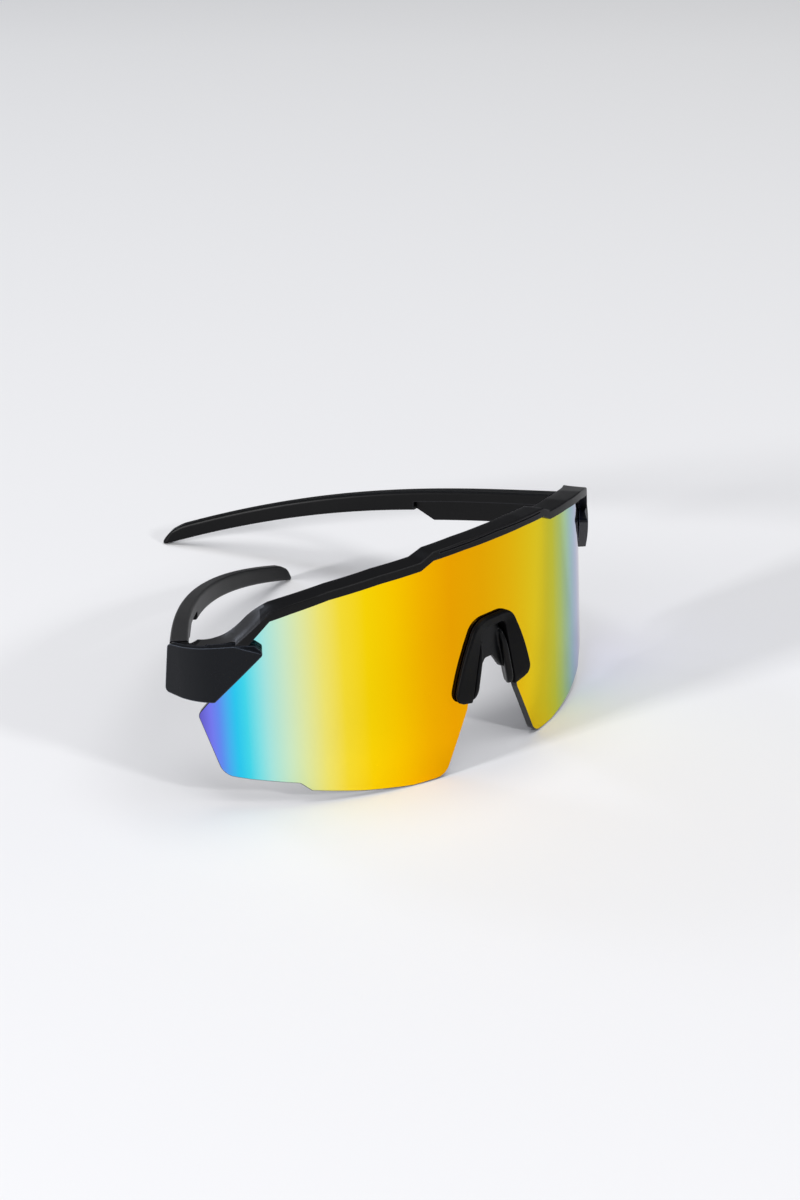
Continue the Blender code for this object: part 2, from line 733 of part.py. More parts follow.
def hinge_block(side, hinge, material):
    """The inner panel of the temple root, with the tongue that the screw passes through."""
    name = "right" if side > 0 else "left"
    place = on_temple(side)
    half = TEMPLE_WIDTH / 2
    panel = plate(block_outline(0.0), half - BLOCK_WALL, half - BLOCK_SETBACK, place)
    made = piece(f"hinge_block_{name}", panel, hinge, material)
    soften(made, BLOCK_EDGE, segments=1)
    tongue_room = pin(KNUCKLE_RADIUS + GAP, KNUCKLE_FOOT - OVERRUN, KNUCKLE_TOP + OVERRUN)
    cut(made, piece(f"panel_room_{name}", tongue_room, hinge))
    join(made, piece(f"tongue_{name}", pin(KNUCKLE_RADIUS, TONGUE_FOOT, TONGUE_TOP), hinge))
    inner = TEMPLE_OUTER - TEMPLE_WIDTH
    edges = sorted((side * (inner + 2 * GAP), side * (inner + BLOCK_WALL - GAP)))
    neck = block((edges[0], 0.0, TONGUE_FOOT), (edges[1], TEMPLE_BUTT + OVERRUN / 2, TONGUE_TOP))
    join(made, piece(f"tongue_neck_{name}", neck, hinge))
    bore = pin(SCREW_RADIUS + GAP, TONGUE_FOOT - OVERRUN, TONGUE_TOP + OVERRUN)
    cut(made, piece(f"tongue_bore_{name}", bore, hinge))
    return made


def hinge_screw(side, hinge, material):
    """A slotted screw, put in from below."""
    name = "right" if side > 0 else "left"
    top = TONGUE_TOP + GAP + NUT_HEIGHT + GAP
    head_top = KNUCKLE_FOOT + HEAD_HEIGHT
    made = piece(f"hinge_screw_{name}", pin(HEAD_RADIUS, KNUCKLE_FOOT, head_top), hinge, material)
    join(made, piece(f"screw_shank_{name}", pin(SCREW_RADIUS, head_top - GAP, top), hinge))
    low = (-HEAD_RADIUS - GAP, -DRIVER_SLOT / 2, KNUCKLE_FOOT - GAP)
    high = (HEAD_RADIUS + GAP, DRIVER_SLOT / 2, KNUCKLE_FOOT + HEAD_HEIGHT / 2)
    cut(made, piece(f"driver_slot_{name}", block(low, high), hinge))
    return made


def hinge_nut(side, hinge, material):
    """The six-sided nut in the upper knuckle."""
    name = "right" if side > 0 else "left"
    foot = TONGUE_TOP + 2 * GAP
    made = piece(f"hinge_nut_{name}", pin(NUT_RADIUS, foot, foot + NUT_HEIGHT, sides=NUT_SIDES), hinge, material)
    bore = pin(SCREW_RADIUS + GAP, foot - OVERRUN, foot + NUT_HEIGHT + OVERRUN)
    cut(made, piece(f"nut_bore_{name}", bore, hinge))
    return made


def arch_line():
    """Places along the lens arch from its right foot over the top to its left, each with its outward
    direction and its share of the way up the leg."""
    corner, leg = LENS_OUTLINE_SHARES[0], LENS_OUTLINE_SHARES[1]
    top = Vector((corner[0] * LENS_HALF_ARC, corner[1] * LENS_HEIGHT))
    low = Vector((leg[0] * LENS_HALF_ARC, leg[1] * LENS_HEIGHT))
    foot = top.lerp(low, CLIP_DROP / (top.y - low.y))
    bend = rounded([(foot.x, foot.y, 0.0), (top.x, top.y, ARCH_CORNER), (0.0, top.y, 0.0)])[1:-1]
    legs = max(2, round((foot - bend[0]).length / CLIP_STEP))
    half = [foot.lerp(bend[0], index / legs) for index in range(legs)] + bend
    whole = half + [Vector((0.0, top.y))] + [Vector((-spot.x, spot.y)) for spot in reversed(half)]
    rows = []
    for index, here in enumerate(whole):
        before = whole[max(index - 1, 0)]
        after = whole[min(index + 1, len(whole) - 1)]
        heading = (after - before).normalized()
        rows.append((here, Vector((heading.y, -heading.x)), (here.y - foot.y) / (top.y - foot.y)))
    return rows


def clip_ring(here, outward, rise, swell):
    """One section of the nose clip, round the edge of the lens; its legs are tucked in at the lens."""
    reach = CLIP_REACH_LEG + (CLIP_REACH_TOP - CLIP_REACH_LEG) * rise ** 2
    reach = GAP + CLIP_LIP + (reach - GAP - CLIP_LIP) * swell
    tuck = CLIP_TUCK * swell * (1.0 - rise)
    back = -LENS_WALL - GAP
    points = (
        (reach - tuck, GAP),
        (reach - tuck / 2, GAP + CLIP_LIP * swell),
        (reach - CLIP_LIP / 4, (CLIP_STAND - CLIP_LIP) * swell),
        (reach - CLIP_LIP, CLIP_STAND * swell),
        (reach - 2 * CLIP_LIP, (CLIP_STAND - CLIP_LIP / 4) * swell),
        (-CLIP_WAIST, CLIP_STAND * swell / 2),
        (-CLIP_WAIST, -CLIP_DEPTH),
        (-CLIP_WAIST / 3, -CLIP_DEPTH),
        (CLIP_BACK_REACH * swell, back - CLIP_BACK_WALL),
        (CLIP_BACK_REACH * swell, back),
        (-GAP, back),
        (-GAP, GAP),
    )
    return [
        on_lens(here.x + outward.x * out, stand, here.y + outward.y * out) for out, stand in points
    ]


def nose_clip(front, material):
    """The arch that grips the lens edge over the nose."""
    rows = arch_line()
    rings = []
    for index, (here, outward, rise) in enumerate(rows):
        end = min(index, len(rows) - 1 - index)
        swell = min(1.0, CLIP_FOOT_SHARE + CLIP_GROWTH_SHARE * end)
        rings.append(clip_ring(here, outward, rise, swell))
    return piece("nose_clip", loft(rings), front, material)


def pad_rings(side):
    """The sections of one pad, from its foot upward along a leg of the clip."""
    rows = [row for row in arch_line() if side * row[0].x > 0]
    if side < 0:
        rows.reverse()
    foot, outward = rows[0][0], rows[0][1]
    heading = (rows[1][0] - rows[0][0]).normalized()
    rings = []
    for index, swell in enumerate(PAD_SWELL_SHARES):
        here = foot + heading * PAD_LENGTH * index / (len(PAD_SWELL_SHARES) - 1)
        ring = []
        for reach, deep in PAD_SECTION_SHARES:
            out = -CLIP_WAIST - GAP + PAD_REACH * reach * (swell if reach else 1.0)
            free = max(deep - PAD_HEEL_SHARE, 0.0)
            stand = PAD_STAND - PAD_DEPTH * (deep - free + free * swell)
            ring.append(on_lens(here.x + outward.x * out, stand, here.y + outward.y * out))
        rings.append(ring)
    return rings


def web_outline():
    """The web between the pads: inside the clip at its top and sides, arched at its lower edge."""
    rows = arch_line()
    crown = max(here.y for here, outward, rise in rows)
    above = [row for row in rows if row[0].y > crown - WEB_START]
    rim = [here - outward * (CLIP_WAIST + 2 * GAP) for here, outward, rise in above]
    leg = Vector((WEB_LEG, 0.0))
    arch = [Vector((-WEB_LEG, crown - WEB_DROP)), Vector((WEB_LEG, crown - WEB_DROP))]
    return rim + [rim[-1] + leg] + arch + [rim[0] - leg]


def nose_saddle(front, material):
    """Two soft pads that flare apart behind the clip, joined by a web under its top."""
    made = piece("nose_saddle", loft(pad_rings(1)), front, material)
    join(made, piece("left_pad", loft(pad_rings(-1)), front))
    web = plate(web_outline(), -WEB_SETBACK - WEB_WALL, -WEB_SETBACK, on_lens)
    join(made, piece("saddle_web", web, front))
    return made


def centre_on_origin(root, pieces):
    """Moves the whole model so that its box stands on the floor, centred on the origin."""
    bpy.context.view_layer.update()
    graph = bpy.context.evaluated_depsgraph_get()
    spots = []
    for made in pieces:
        evaluated = made.evaluated_get(graph)
        mesh = evaluated.to_mesh()
        spots += [evaluated.matrix_world @ vert.co for vert in mesh.vertices]
        evaluated.to_mesh_clear()
    for axis in (0, 1):
        places = [spot[axis] for spot in spots]
        root.location[axis] = -(min(places) + max(places)) / 2
    root.location[2] = -min(spot.z for spot in spots)


def main():
    """Builds the glasses."""
    clear_scene()
    nylon = finish("black moulded nylon")
    cover_nylon = finish("blue black moulded nylon")
    steel = finish("stainless steel")
    brass = finish("brass")

    root = holder("glasses")
    lift = (0.0, 0.0, -front_drop())
    front = holder("front", root, lift, (-FRONT_LEAN, 0.0, 0.0))
    pins = [
        (side, holder(f"hinge_pin_{name}", root, hinge_spot(side)))
        for side, name in ((-1, "left"), (1, "right"))
    ]
    made = [
        lens(front, finish("mirror coated polycarbonate")),
        brow_frame(front, pins, nylon),
        nose_clip(front, nylon),
        nose_saddle(front, finish("black rubber")),
    ]
    for side, upright in pins:
        name = "right" if side > 0 else "left"
        fold = (RIGHT_FOLD if side > 0 else LEFT_FOLD) - OPEN_SPLAY
        swing = holder(f"fold_axis_{name}", upright, rotation=(0.0, 0.0, side * fold))
        made.append(end_cover(side, front, cover_nylon))
        made.append(temple(side, swing, nylon))
        made.append(hinge_block(side, swing, nylon))
        made.append(hinge_screw(side, upright, steel))
        made.append(hinge_nut(side, upright, brass))
    centre_on_origin(root, made)


main()
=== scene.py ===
"""The looks of sports sunglasses: one mirrored shield lens, a brow bar and two folding temples.

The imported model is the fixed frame. Each visible piece is built again here in finer steps and in
the same place, with the edges and surfaces of the moulded original. Lengths are in metres. The
glasses face -Y, the temples run along +Y and the surface they lie on is at z = 0.
"""

import logging
import math
from collections.abc import Callable, Sequence
from dataclasses import dataclass, field
from enum import Enum
from functools import cache

import bmesh
import bpy
from mathutils import Matrix, Vector


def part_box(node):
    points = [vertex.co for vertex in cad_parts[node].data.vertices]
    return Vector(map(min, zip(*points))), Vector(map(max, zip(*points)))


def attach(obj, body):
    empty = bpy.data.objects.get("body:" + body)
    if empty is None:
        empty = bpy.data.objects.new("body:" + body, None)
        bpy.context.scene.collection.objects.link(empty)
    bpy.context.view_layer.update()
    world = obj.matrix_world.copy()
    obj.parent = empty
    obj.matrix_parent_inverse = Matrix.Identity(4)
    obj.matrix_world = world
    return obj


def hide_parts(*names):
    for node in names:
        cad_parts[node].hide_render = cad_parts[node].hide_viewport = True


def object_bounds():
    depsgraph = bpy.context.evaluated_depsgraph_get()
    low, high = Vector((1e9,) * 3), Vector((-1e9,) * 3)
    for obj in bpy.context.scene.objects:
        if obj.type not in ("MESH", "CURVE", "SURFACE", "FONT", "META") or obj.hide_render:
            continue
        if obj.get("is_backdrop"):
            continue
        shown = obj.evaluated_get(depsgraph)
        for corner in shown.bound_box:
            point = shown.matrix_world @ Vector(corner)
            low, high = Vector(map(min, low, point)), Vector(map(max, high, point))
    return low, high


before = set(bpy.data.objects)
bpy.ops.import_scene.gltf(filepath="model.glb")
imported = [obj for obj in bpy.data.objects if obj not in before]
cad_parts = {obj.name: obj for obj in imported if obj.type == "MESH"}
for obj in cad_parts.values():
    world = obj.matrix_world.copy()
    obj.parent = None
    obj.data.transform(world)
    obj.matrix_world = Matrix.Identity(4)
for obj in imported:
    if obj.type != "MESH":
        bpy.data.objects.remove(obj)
CAD_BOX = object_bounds()

log = logging.getLogger("sunglasses")

Outline = list[Vector]
Ring = list[Vector]
Placer = Callable[[float, float, float], Vector]

# The clearance between pieces
GAP = 0.0003
# How far a cutting shape reaches past what it cuts
OVERRUN = 0.0040
# A point this near to a slicing plane lies on it
TINY = 3.0e-7
# Points this near to each other become one
MERGE = 0.000004
# A corner counts as straight when half its angle is wider than this
STRAIGHT = math.radians(88.0)
# The share of the shorter side beside a corner that the corner's arc may take
ARC_SHARE = 0.45
# The least cosine that limits how far a sharp corner runs out when an outline grows
MITRE = 0.5


class Side(Enum):
    """Which side of the glasses a piece is on, as the viewer of the lens sees it."""

    LEFT = -1
    RIGHT = 1

    @property
    def label(self) -> str:
        """The word that ends the names of this side's pieces."""
        return self.name.lower()


class Operation(Enum):
    """What a tool shape does to a blank."""

    CUT = "DIFFERENCE"
    JOIN = "UNION"


# Outlines and meshes


def rounded(points: Sequence[tuple[float, float, float]], steps: int = 6) -> Outline:
    """Turns each corner of an outline into an arc.

    Args:
        points: (across, up, corner radius) for each corner; a radius of 0 keeps the corner sharp.
        steps: How many straight pieces each arc has.

    Returns:
        The outline's points in order.
    """
    outline: Outline = []
    count = len(points)
    for index, (across, up, corner) in enumerate(points):
        here = Vector((across, up))
        if not corner:
            outline.append(here)
            continue
        back = Vector(points[index - 1][:2]) - here
        on = Vector(points[(index + 1) % count][:2]) - here
        before, after = back.normalized(), on.normalized()
        half = before.angle(after) / 2
        if half > STRAIGHT:
            outline.append(here)
            continue
        arc = min(corner, ARC_SHARE * min(back.length, on.length) * math.tan(half))
        centre = here + (before + after).normalized() * arc / math.sin(half)
        first = here + before * arc / math.tan(half) - centre
        last = here + after * arc / math.tan(half) - centre
        start = math.atan2(first.y, first.x)
        sweep = math.remainder(math.atan2(last.y, last.x) - start, math.tau)
        for step in range(steps + 1):
            turn = start + sweep * step / steps
            outline.append(centre + arc * Vector((math.cos(turn), math.sin(turn))))
    return outline


def grown(outline: Outline, margin: float) -> Outline:
    """Moves an outline outward.

    Args:
        outline: The closed outline.
        margin: How far it moves; a negative margin moves it inward.

    Returns:
        The moved outline, with as many points.
    """
    area = sum(a.cross(b) for a, b in zip(outline, outline[1:] + outline[:1]))
    side = math.copysign(1.0, area) * margin
    moved: Outline = []
    for index, here in enumerate(outline):
        into = (here - outline[index - 1]).normalized()
        out = (outline[(index + 1) % len(outline)] - here).normalized()
        normal = (Vector((into.y, -into.x)) + Vector((out.y, -out.x))).normalized()
        spread = max(normal.dot(Vector((into.y, -into.x))), MITRE)
        moved.append(here + normal * side / spread)
    return moved


def mirrored(outline: Outline) -> Outline:
    """Closes the right half of an outline with its mirror image."""
    return list(outline) + [Vector((-spot.x, spot.y)) for spot in reversed(outline)]


def loft(rings: Sequence[Ring]) -> bmesh.types.BMesh:
    """Skins a solid over rings of equal count.

    Args:
        rings: The sections in order.

    Returns:
        The closed solid, with a cap at each end.
    """
    bm = bmesh.new()
    laid = [[bm.verts.new(spot) for spot in ring] for ring in rings]
    for ring, following in zip(laid, laid[1:]):
        for index in range(len(ring)):
            after = (index + 1) % len(ring)
            bm.faces.new((ring[index], ring[after], following[after], following[index]))
    bm.faces.new(laid[0])
    bm.faces.new(list(reversed(laid[-1])))
    return bm


def laid_sheet(
    layers: Sequence[tuple[Outline, float]], place: Placer, slice_width: float
) -> bmesh.types.BMesh:
    """Builds a sheet from stacked outlines, slices it across and lays it on a curved surface.

    Args:
        layers: (outline, height) pairs of equal count; the first and last are capped.
        place: The map from (across, height, up) to a place.
        slice_width: The widest slice, so that the sheet follows the curve.

    Returns:
        The closed, curved sheet.
    """
    rings = [[Vector((spot.x, spot.y, height)) for spot in outline] for outline, height in layers]
    bm = loft(rings)
    widest = max((outline for outline, _ in layers), key=lambda o: max(spot.x for spot in o))
    first, last = min(spot.x for spot in widest), max(spot.x for spot in widest)
    slices = max(1, math.ceil((last - first) / slice_width))
    wanted = [first + (last - first) * index / slices for index in range(1, slices)]
    done = first
    for across in sorted(wanted + [spot.x for spot in widest]):
        if across - done < GAP / 3 or last - across < GAP / 3:
            continue
        done = across
        bmesh.ops.bisect_plane(
            bm,
            geom=bm.verts[:] + bm.edges[:] + bm.faces[:],
            plane_co=(across, 0.0, 0.0),
            plane_no=(1.0, 0.0, 0.0),
            dist=TINY,
        )
    for vert in bm.verts:
        vert.co = place(vert.co.x, vert.co.z, vert.co.y)
    return bm


def slab(
    outline: Outline, low: float, high: float, place: Placer, slice_width: float
) -> bmesh.types.BMesh:
    """Builds a sheet with square edges between two heights, laid as laid_sheet lays it."""
    return laid_sheet(((outline, low), (outline, high)), place, slice_width)


def pin(radius: float, foot: float, top: float, sides: int = 48) -> bmesh.types.BMesh:
    """Builds an upright round pin about the origin.

    Args:
        radius: Its radius.
        foot: The height of its lower end.
        top: The height of its upper end.
        sides: How many flat sides it has.

    Returns:
        The closed pin.
    """
    bm = bmesh.new()
    bmesh.ops.create_cone(
        bm,
        cap_ends=True,
        segments=sides,
        radius1=radius,
        radius2=radius,
        depth=top - foot,
        matrix=Matrix.Translation((0.0, 0.0, (foot + top) / 2)),
    )
    return bm


def block(low: Sequence[float], high: Sequence[float]) -> bmesh.types.BMesh:
    """Builds a box between two corners.

    Args:
        low: Its corner with the least coordinates.
        high: Its corner with the greatest.

    Returns:
        The closed box.
    """
    bm = bmesh.new()
    size, middle = Vector(high) - Vector(low), (Vector(high) + Vector(low)) / 2
    matrix = Matrix.Translation(middle) @ Matrix.Diagonal((*size, 1.0))
    bmesh.ops.create_cube(bm, size=1.0, matrix=matrix)
    return bm


def link(name: str, data: bpy.types.ID) -> bpy.types.Object:
    """Adds an object to the scene.

    Args:
        name: The object's name.
        data: What it holds: a mesh, a lamp or a camera.

    Returns:
        The object.
    """
    made = bpy.data.objects.new(name, data)
    bpy.context.scene.collection.objects.link(made)
    return made


@dataclass
class Blank:
    """A piece in the making: a mesh, and the shapes cut from it or joined to it.

    Attributes:
        name: The finished piece's name.
        mesh: The solid that the work starts from.
        place: Where the mesh's own frame lies in the row frame.
        tools: The shapes that the blank is worked with.
    """

    name: str
    mesh: bmesh.types.BMesh
    place: Matrix
    tools: list[bpy.types.Object] = field(default_factory=list)

    def __post_init__(self) -> None:
        """Puts the mesh into the scene as an object."""
        self.made = self._object(self.name, self.mesh, self.place)

    @staticmethod
    def _object(name: str, bm: bmesh.types.BMesh, place: Matrix) -> bpy.types.Object:
        """Turns a mesh's faces outward and puts it into the scene.

        Args:
            name: The object's name.
            bm: The mesh.
            place: Where the mesh's own frame lies.

        Returns:
            The object that holds the mesh.
        """
        bmesh.ops.recalc_face_normals(bm, faces=bm.faces)
        mesh = bpy.data.meshes.new(name)
        bm.to_mesh(mesh)
        bm.free()
        made = link(name, mesh)
        made.matrix_world = place
        return made

    def work(
        self, operation: Operation, bm: bmesh.types.BMesh, place: Matrix | None = None
    ) -> None:
        """Cuts a tool shape from the blank, or joins it on.

        Args:
            operation: Whether the tool cuts or joins.
            bm: The tool's shape.
            place: Where the tool's frame lies; the blank's own place if left out.
        """
        tool = self._object(f"{self.name}_tool", bm, place or self.place)
        tool.hide_render = True
        step = self.made.modifiers.new(operation.name, "BOOLEAN")
        step.operation = operation.value
        step.object = tool
        self.tools.append(tool)

    def soften(self, width: float, segments: int = 3, angle: float = math.radians(35.0)) -> None:
        """Rounds the crisp edges.

        Args:
            width: How far from an edge the rounding starts.
            segments: How many facets it has.
            angle: The turn above which an edge is crisp.
        """
        step = self.made.modifiers.new("soften", "BEVEL")
        step.width = width
        step.segments = segments
        step.limit_method = "ANGLE"
        step.angle_limit = angle
        step.use_clamp_overlap = True

    def blend(self, voxel: float, rounds: int) -> None:
        """Melts the joined shapes into one skin, as a moulded soft piece has.

        Args:
            voxel: The spacing of the skin's points.
            rounds: How often each point is drawn half way to the middle of its neighbours.
        """
        step = self.made.modifiers.new("one skin", "REMESH")
        step.mode = "VOXEL"
        step.voxel_size = voxel
        ease = self.made.modifiers.new("ease", "SMOOTH")
        ease.iterations = rounds
        ease.factor = 0.5

    def finish(self, sharp: float = math.radians(30.0)) -> bpy.types.Object:
        """Fixes every step in the mesh and clears the tools away.

        Args:
            sharp: The turn above which an edge is shaded as a crease.

        Returns:
            The finished object, still without a material.
        """
        bpy.context.view_layer.update()
        graph = bpy.context.evaluated_depsgraph_get()
        mesh = bpy.data.meshes.new_from_object(self.made.evaluated_get(graph), depsgraph=graph)
        old = self.made.data
        tidied = bmesh.new()
        tidied.from_mesh(mesh)
        bmesh.ops.remove_doubles(tidied, verts=tidied.verts, dist=MERGE)
        bmesh.ops.dissolve_degenerate(tidied, edges=tidied.edges, dist=MERGE)
        tidied.to_mesh(mesh)
        tidied.free()
        self.made.modifiers.clear()
        self.made.data = mesh
        bpy.data.meshes.remove(old)
        for tool in self.tools:
            bpy.data.objects.remove(tool, do_unlink=True)
        self.made.data.name = self.name
        self.made.data.shade_smooth()
        self.made.data.set_sharp_from_angle(angle=sharp)
        even = self.made.modifiers.new("even shading", "WEIGHTED_NORMAL")
        even.keep_sharp = True
        return self.made


# Finishes


def srgb(code: str) -> tuple[float, float, float, float]:
    """Turns an sRGB hex colour linear.

    Args:
        code: The colour, such as "#e9e9eb".

    Returns:
        Linear red, green and blue, and a full alpha.
    """
    shares = [int(code[start : start + 2], 16) / 255 for start in (1, 3, 5)]
    linear = [s / 12.92 if s <= 0.04045 else ((s + 0.055) / 1.055) ** 2.4 for s in shares]
    return (linear[0], linear[1], linear[2], 1.0)


def fill(tree: bpy.types.NodeTree, node: bpy.types.Node, inputs: dict) -> None:
    """Fills a node's inputs.

    Args:
        tree: The material's node tree.
        node: The node.
        inputs: Values by socket name or number; an output socket is linked, the rest are set.
    """
    for key, value in inputs.items():
        if isinstance(value, bpy.types.NodeSocket):
            tree.links.new(value, node.inputs[key])
        else:
            node.inputs[key].default_value = value


def add_node(
    tree: bpy.types.NodeTree,
    kind: str,
    inputs: dict | None = None,
    stops: Sequence[tuple[float, str]] = (),
    **settings: object,
) -> bpy.types.Node:
    """Adds a node with its settings and links.

    Args:
        tree: The material's node tree.
        kind: The node's type name.
        inputs: What its inputs are filled with.
        stops: The (place, hex colour) pairs of a colour ramp.
        **settings: The node's own properties.

    Returns:
        The new node.
    """
    node = tree.nodes.new(kind)
    for name, value in settings.items():
        setattr(node, name, value)
    fill(tree, node, inputs or {})
    if stops:
        ramp = node.color_ramp.elements
        ramp.remove(ramp[-1])
        for index, (place, code) in enumerate(stops):
            element = ramp.new(place) if index else ramp[0]
            element.position = place
            element.color = srgb(code)
    return node


def blank_material(
    name: str,
) -> tuple[bpy.types.Material, bpy.types.NodeTree, bpy.types.Node, bpy.types.NodeSocket]:
    """Makes a material with a Principled shader.

    Args:
        name: The material's name.

    Returns:
        The material, its tree, its shader, and the socket of the place on the piece in metres.
    """
    material = bpy.data.materials.new(name)
    material.use_nodes = True
    tree = material.node_tree
    place = add_node(tree, "ShaderNodeTexCoord").outputs["Object"]
    return material, tree, tree.nodes["Principled BSDF"], place


@dataclass(frozen=True)
class MirrorCoating:
    """Ion-plated mirror on polished polycarbonate.

    The plating is a few hundred nanometres of oxide whose thickness falls off toward the ends of
    the curved lens. It gives the eye a mirror that is gold to orange over the nose and runs through
    yellow, aqua and blue to violet at the ends.

    Attributes:
        radius: The radius of the lens that the rainbow is laid along.
        stops: The colour at each arc length from the lens's middle, in millimetres, left to right.
        reach_mm: The arc length at either end of the ramp.
        ripple_mm: The width of the faint waves that dip coating leaves.
        dust_mm: The mean distance between specks of dust.
        speck: Where a speck starts to fade and where it ends, as shares of that distance. Dust is a
            tenth of a millimetre wide in truth, drawn near three times as wide to show.
        rough: The roughness on a speck and beside it.
        glancing: The tint of the plating seen along its face, where bare metal would turn white.
    """

    radius: float
    stops: tuple[tuple[float, str], ...] = (
        (-77.0, "#665ac0"),
        (-74.0, "#7a7cf2"),
        (-72.0, "#6690f4"),
        (-70.0, "#4cb4f4"),
        (-68.0, "#2eccf2"),
        (-65.5, "#46dcee"),
        (-63.0, "#80e6ea"),
        (-60.5, "#aaeae2"),
        (-56.0, "#d0eecb"),
        (-52.0, "#e4eeaa"),
        (-47.0, "#f5ea72"),
        (-42.0, "#fbe134"),
        (-36.0, "#fdd908"),
        (-29.0, "#fecd00"),
        (-21.0, "#fab800"),
        (-13.0, "#f4a900"),
        (-3.0, "#f0ae00"),
        (7.0, "#efbc00"),
        (15.0, "#ecca00"),
        (22.0, "#ead400"),
        (28.0, "#dcdc24"),
        (33.0, "#c4df6c"),
        (38.0, "#a4d8aa"),
        (43.0, "#8ecadc"),
        (49.0, "#92b8fa"),
        (56.0, "#a4acff"),
        (66.0, "#b0a2ff"),
        (77.0, "#a490f0"),
    )
    reach_mm: float = 77.5
    ripple_mm: float = 9.0
    dust_mm: float = 5.5
    speck: tuple[float, float] = (0.022, 0.030)
    rough: tuple[float, float] = (0.35, 0.045)
    glancing: str = "#eae5dc"

    def build(self) -> bpy.types.Material:
        """Builds the material from the lens's own arc length.

        Returns:
            The mirror on the lens's front.
        """
        material, tree, shader, place = blank_material("ion_plated_mirror_on_polycarbonate")
        split = add_node(tree, "ShaderNodeSeparateXYZ", {"Vector": place}).outputs
        depth = add_node(
            tree, "ShaderNodeMath", {0: self.radius, 1: split["Y"]}, operation="SUBTRACT"
        )
        angle = add_node(
            tree, "ShaderNodeMath", {0: split["X"], 1: depth.outputs[0]}, operation="ARCTAN2"
        )
        reach = self.reach_mm / 1000 / self.radius
        span = {"Value": angle.outputs[0], "From Min": -reach, "From Max": reach}
        along = add_node(tree, "ShaderNodeMapRange", span).outputs["Result"]
        stops = [(0.5 + arc / self.reach_mm / 2, code) for arc, code in self.stops]
        rainbow = add_node(tree, "ShaderNodeValToRGB", {"Fac": along}, stops)
        spots = {"Vector": place, "Scale": 1000 / self.dust_mm}
        dust = add_node(tree, "ShaderNodeTexVoronoi", spots, feature="F1")
        span = {"Value": dust.outputs["Distance"]}
        span.update(zip(("From Min", "From Max", "To Min", "To Max"), self.speck + self.rough))
        rough = add_node(tree, "ShaderNodeMapRange", span)
        wave = add_node(tree, "ShaderNodeTexNoise", {"Vector": place, "Scale": 1000 / self.ripple_mm})
        relief = {"Height": wave.outputs["Fac"], "Strength": 0.02, "Distance": 0.0002}
        looks = {
            "Base Color": rainbow.outputs["Color"],
            "Roughness": rough.outputs["Result"],
            "Normal": add_node(tree, "ShaderNodeBump", relief).outputs["Normal"],
            "Metallic": 1.0,
            "Specular Tint": srgb(self.glancing),
        }
        fill(tree, shader, looks)
        return material


@dataclass(frozen=True)
class SmokedPolycarbonate:
    """Smoke-tinted polycarbonate, the body of the lens.

    Polished, as on its inner face, it gives the eye a dark, clear gloss. Ground, as round its edge,
    it gives a nearly black satin.

    Attributes:
        name: The material's name.
        colour: Its colour.
        rough: Its least and greatest roughness.
        haze_mm: The width of the soft patches in which its gloss changes.
    """

    name: str
    colour: str
    rough: tuple[float, float]
    haze_mm: float = 5.5556

    def build(self) -> bpy.types.Material:
        """Builds the polished or ground surface.

        Returns:
            The material.
        """
        material, tree, shader, place = blank_material(self.name)
        patches = {"Vector": place, "Scale": 1000 / self.haze_mm, "Detail": 3.0}
        haze = add_node(tree, "ShaderNodeTexNoise", patches).outputs["Fac"]
        span = {"Value": haze, "To Min": self.rough[0], "To Max": self.rough[1]}
        looks = {
            "Base Color": srgb(self.colour),
            "Roughness": add_node(tree, "ShaderNodeMapRange", span).outputs["Result"],
            "IOR": 1.585,
        }
        fill(tree, shader, looks)
        return material


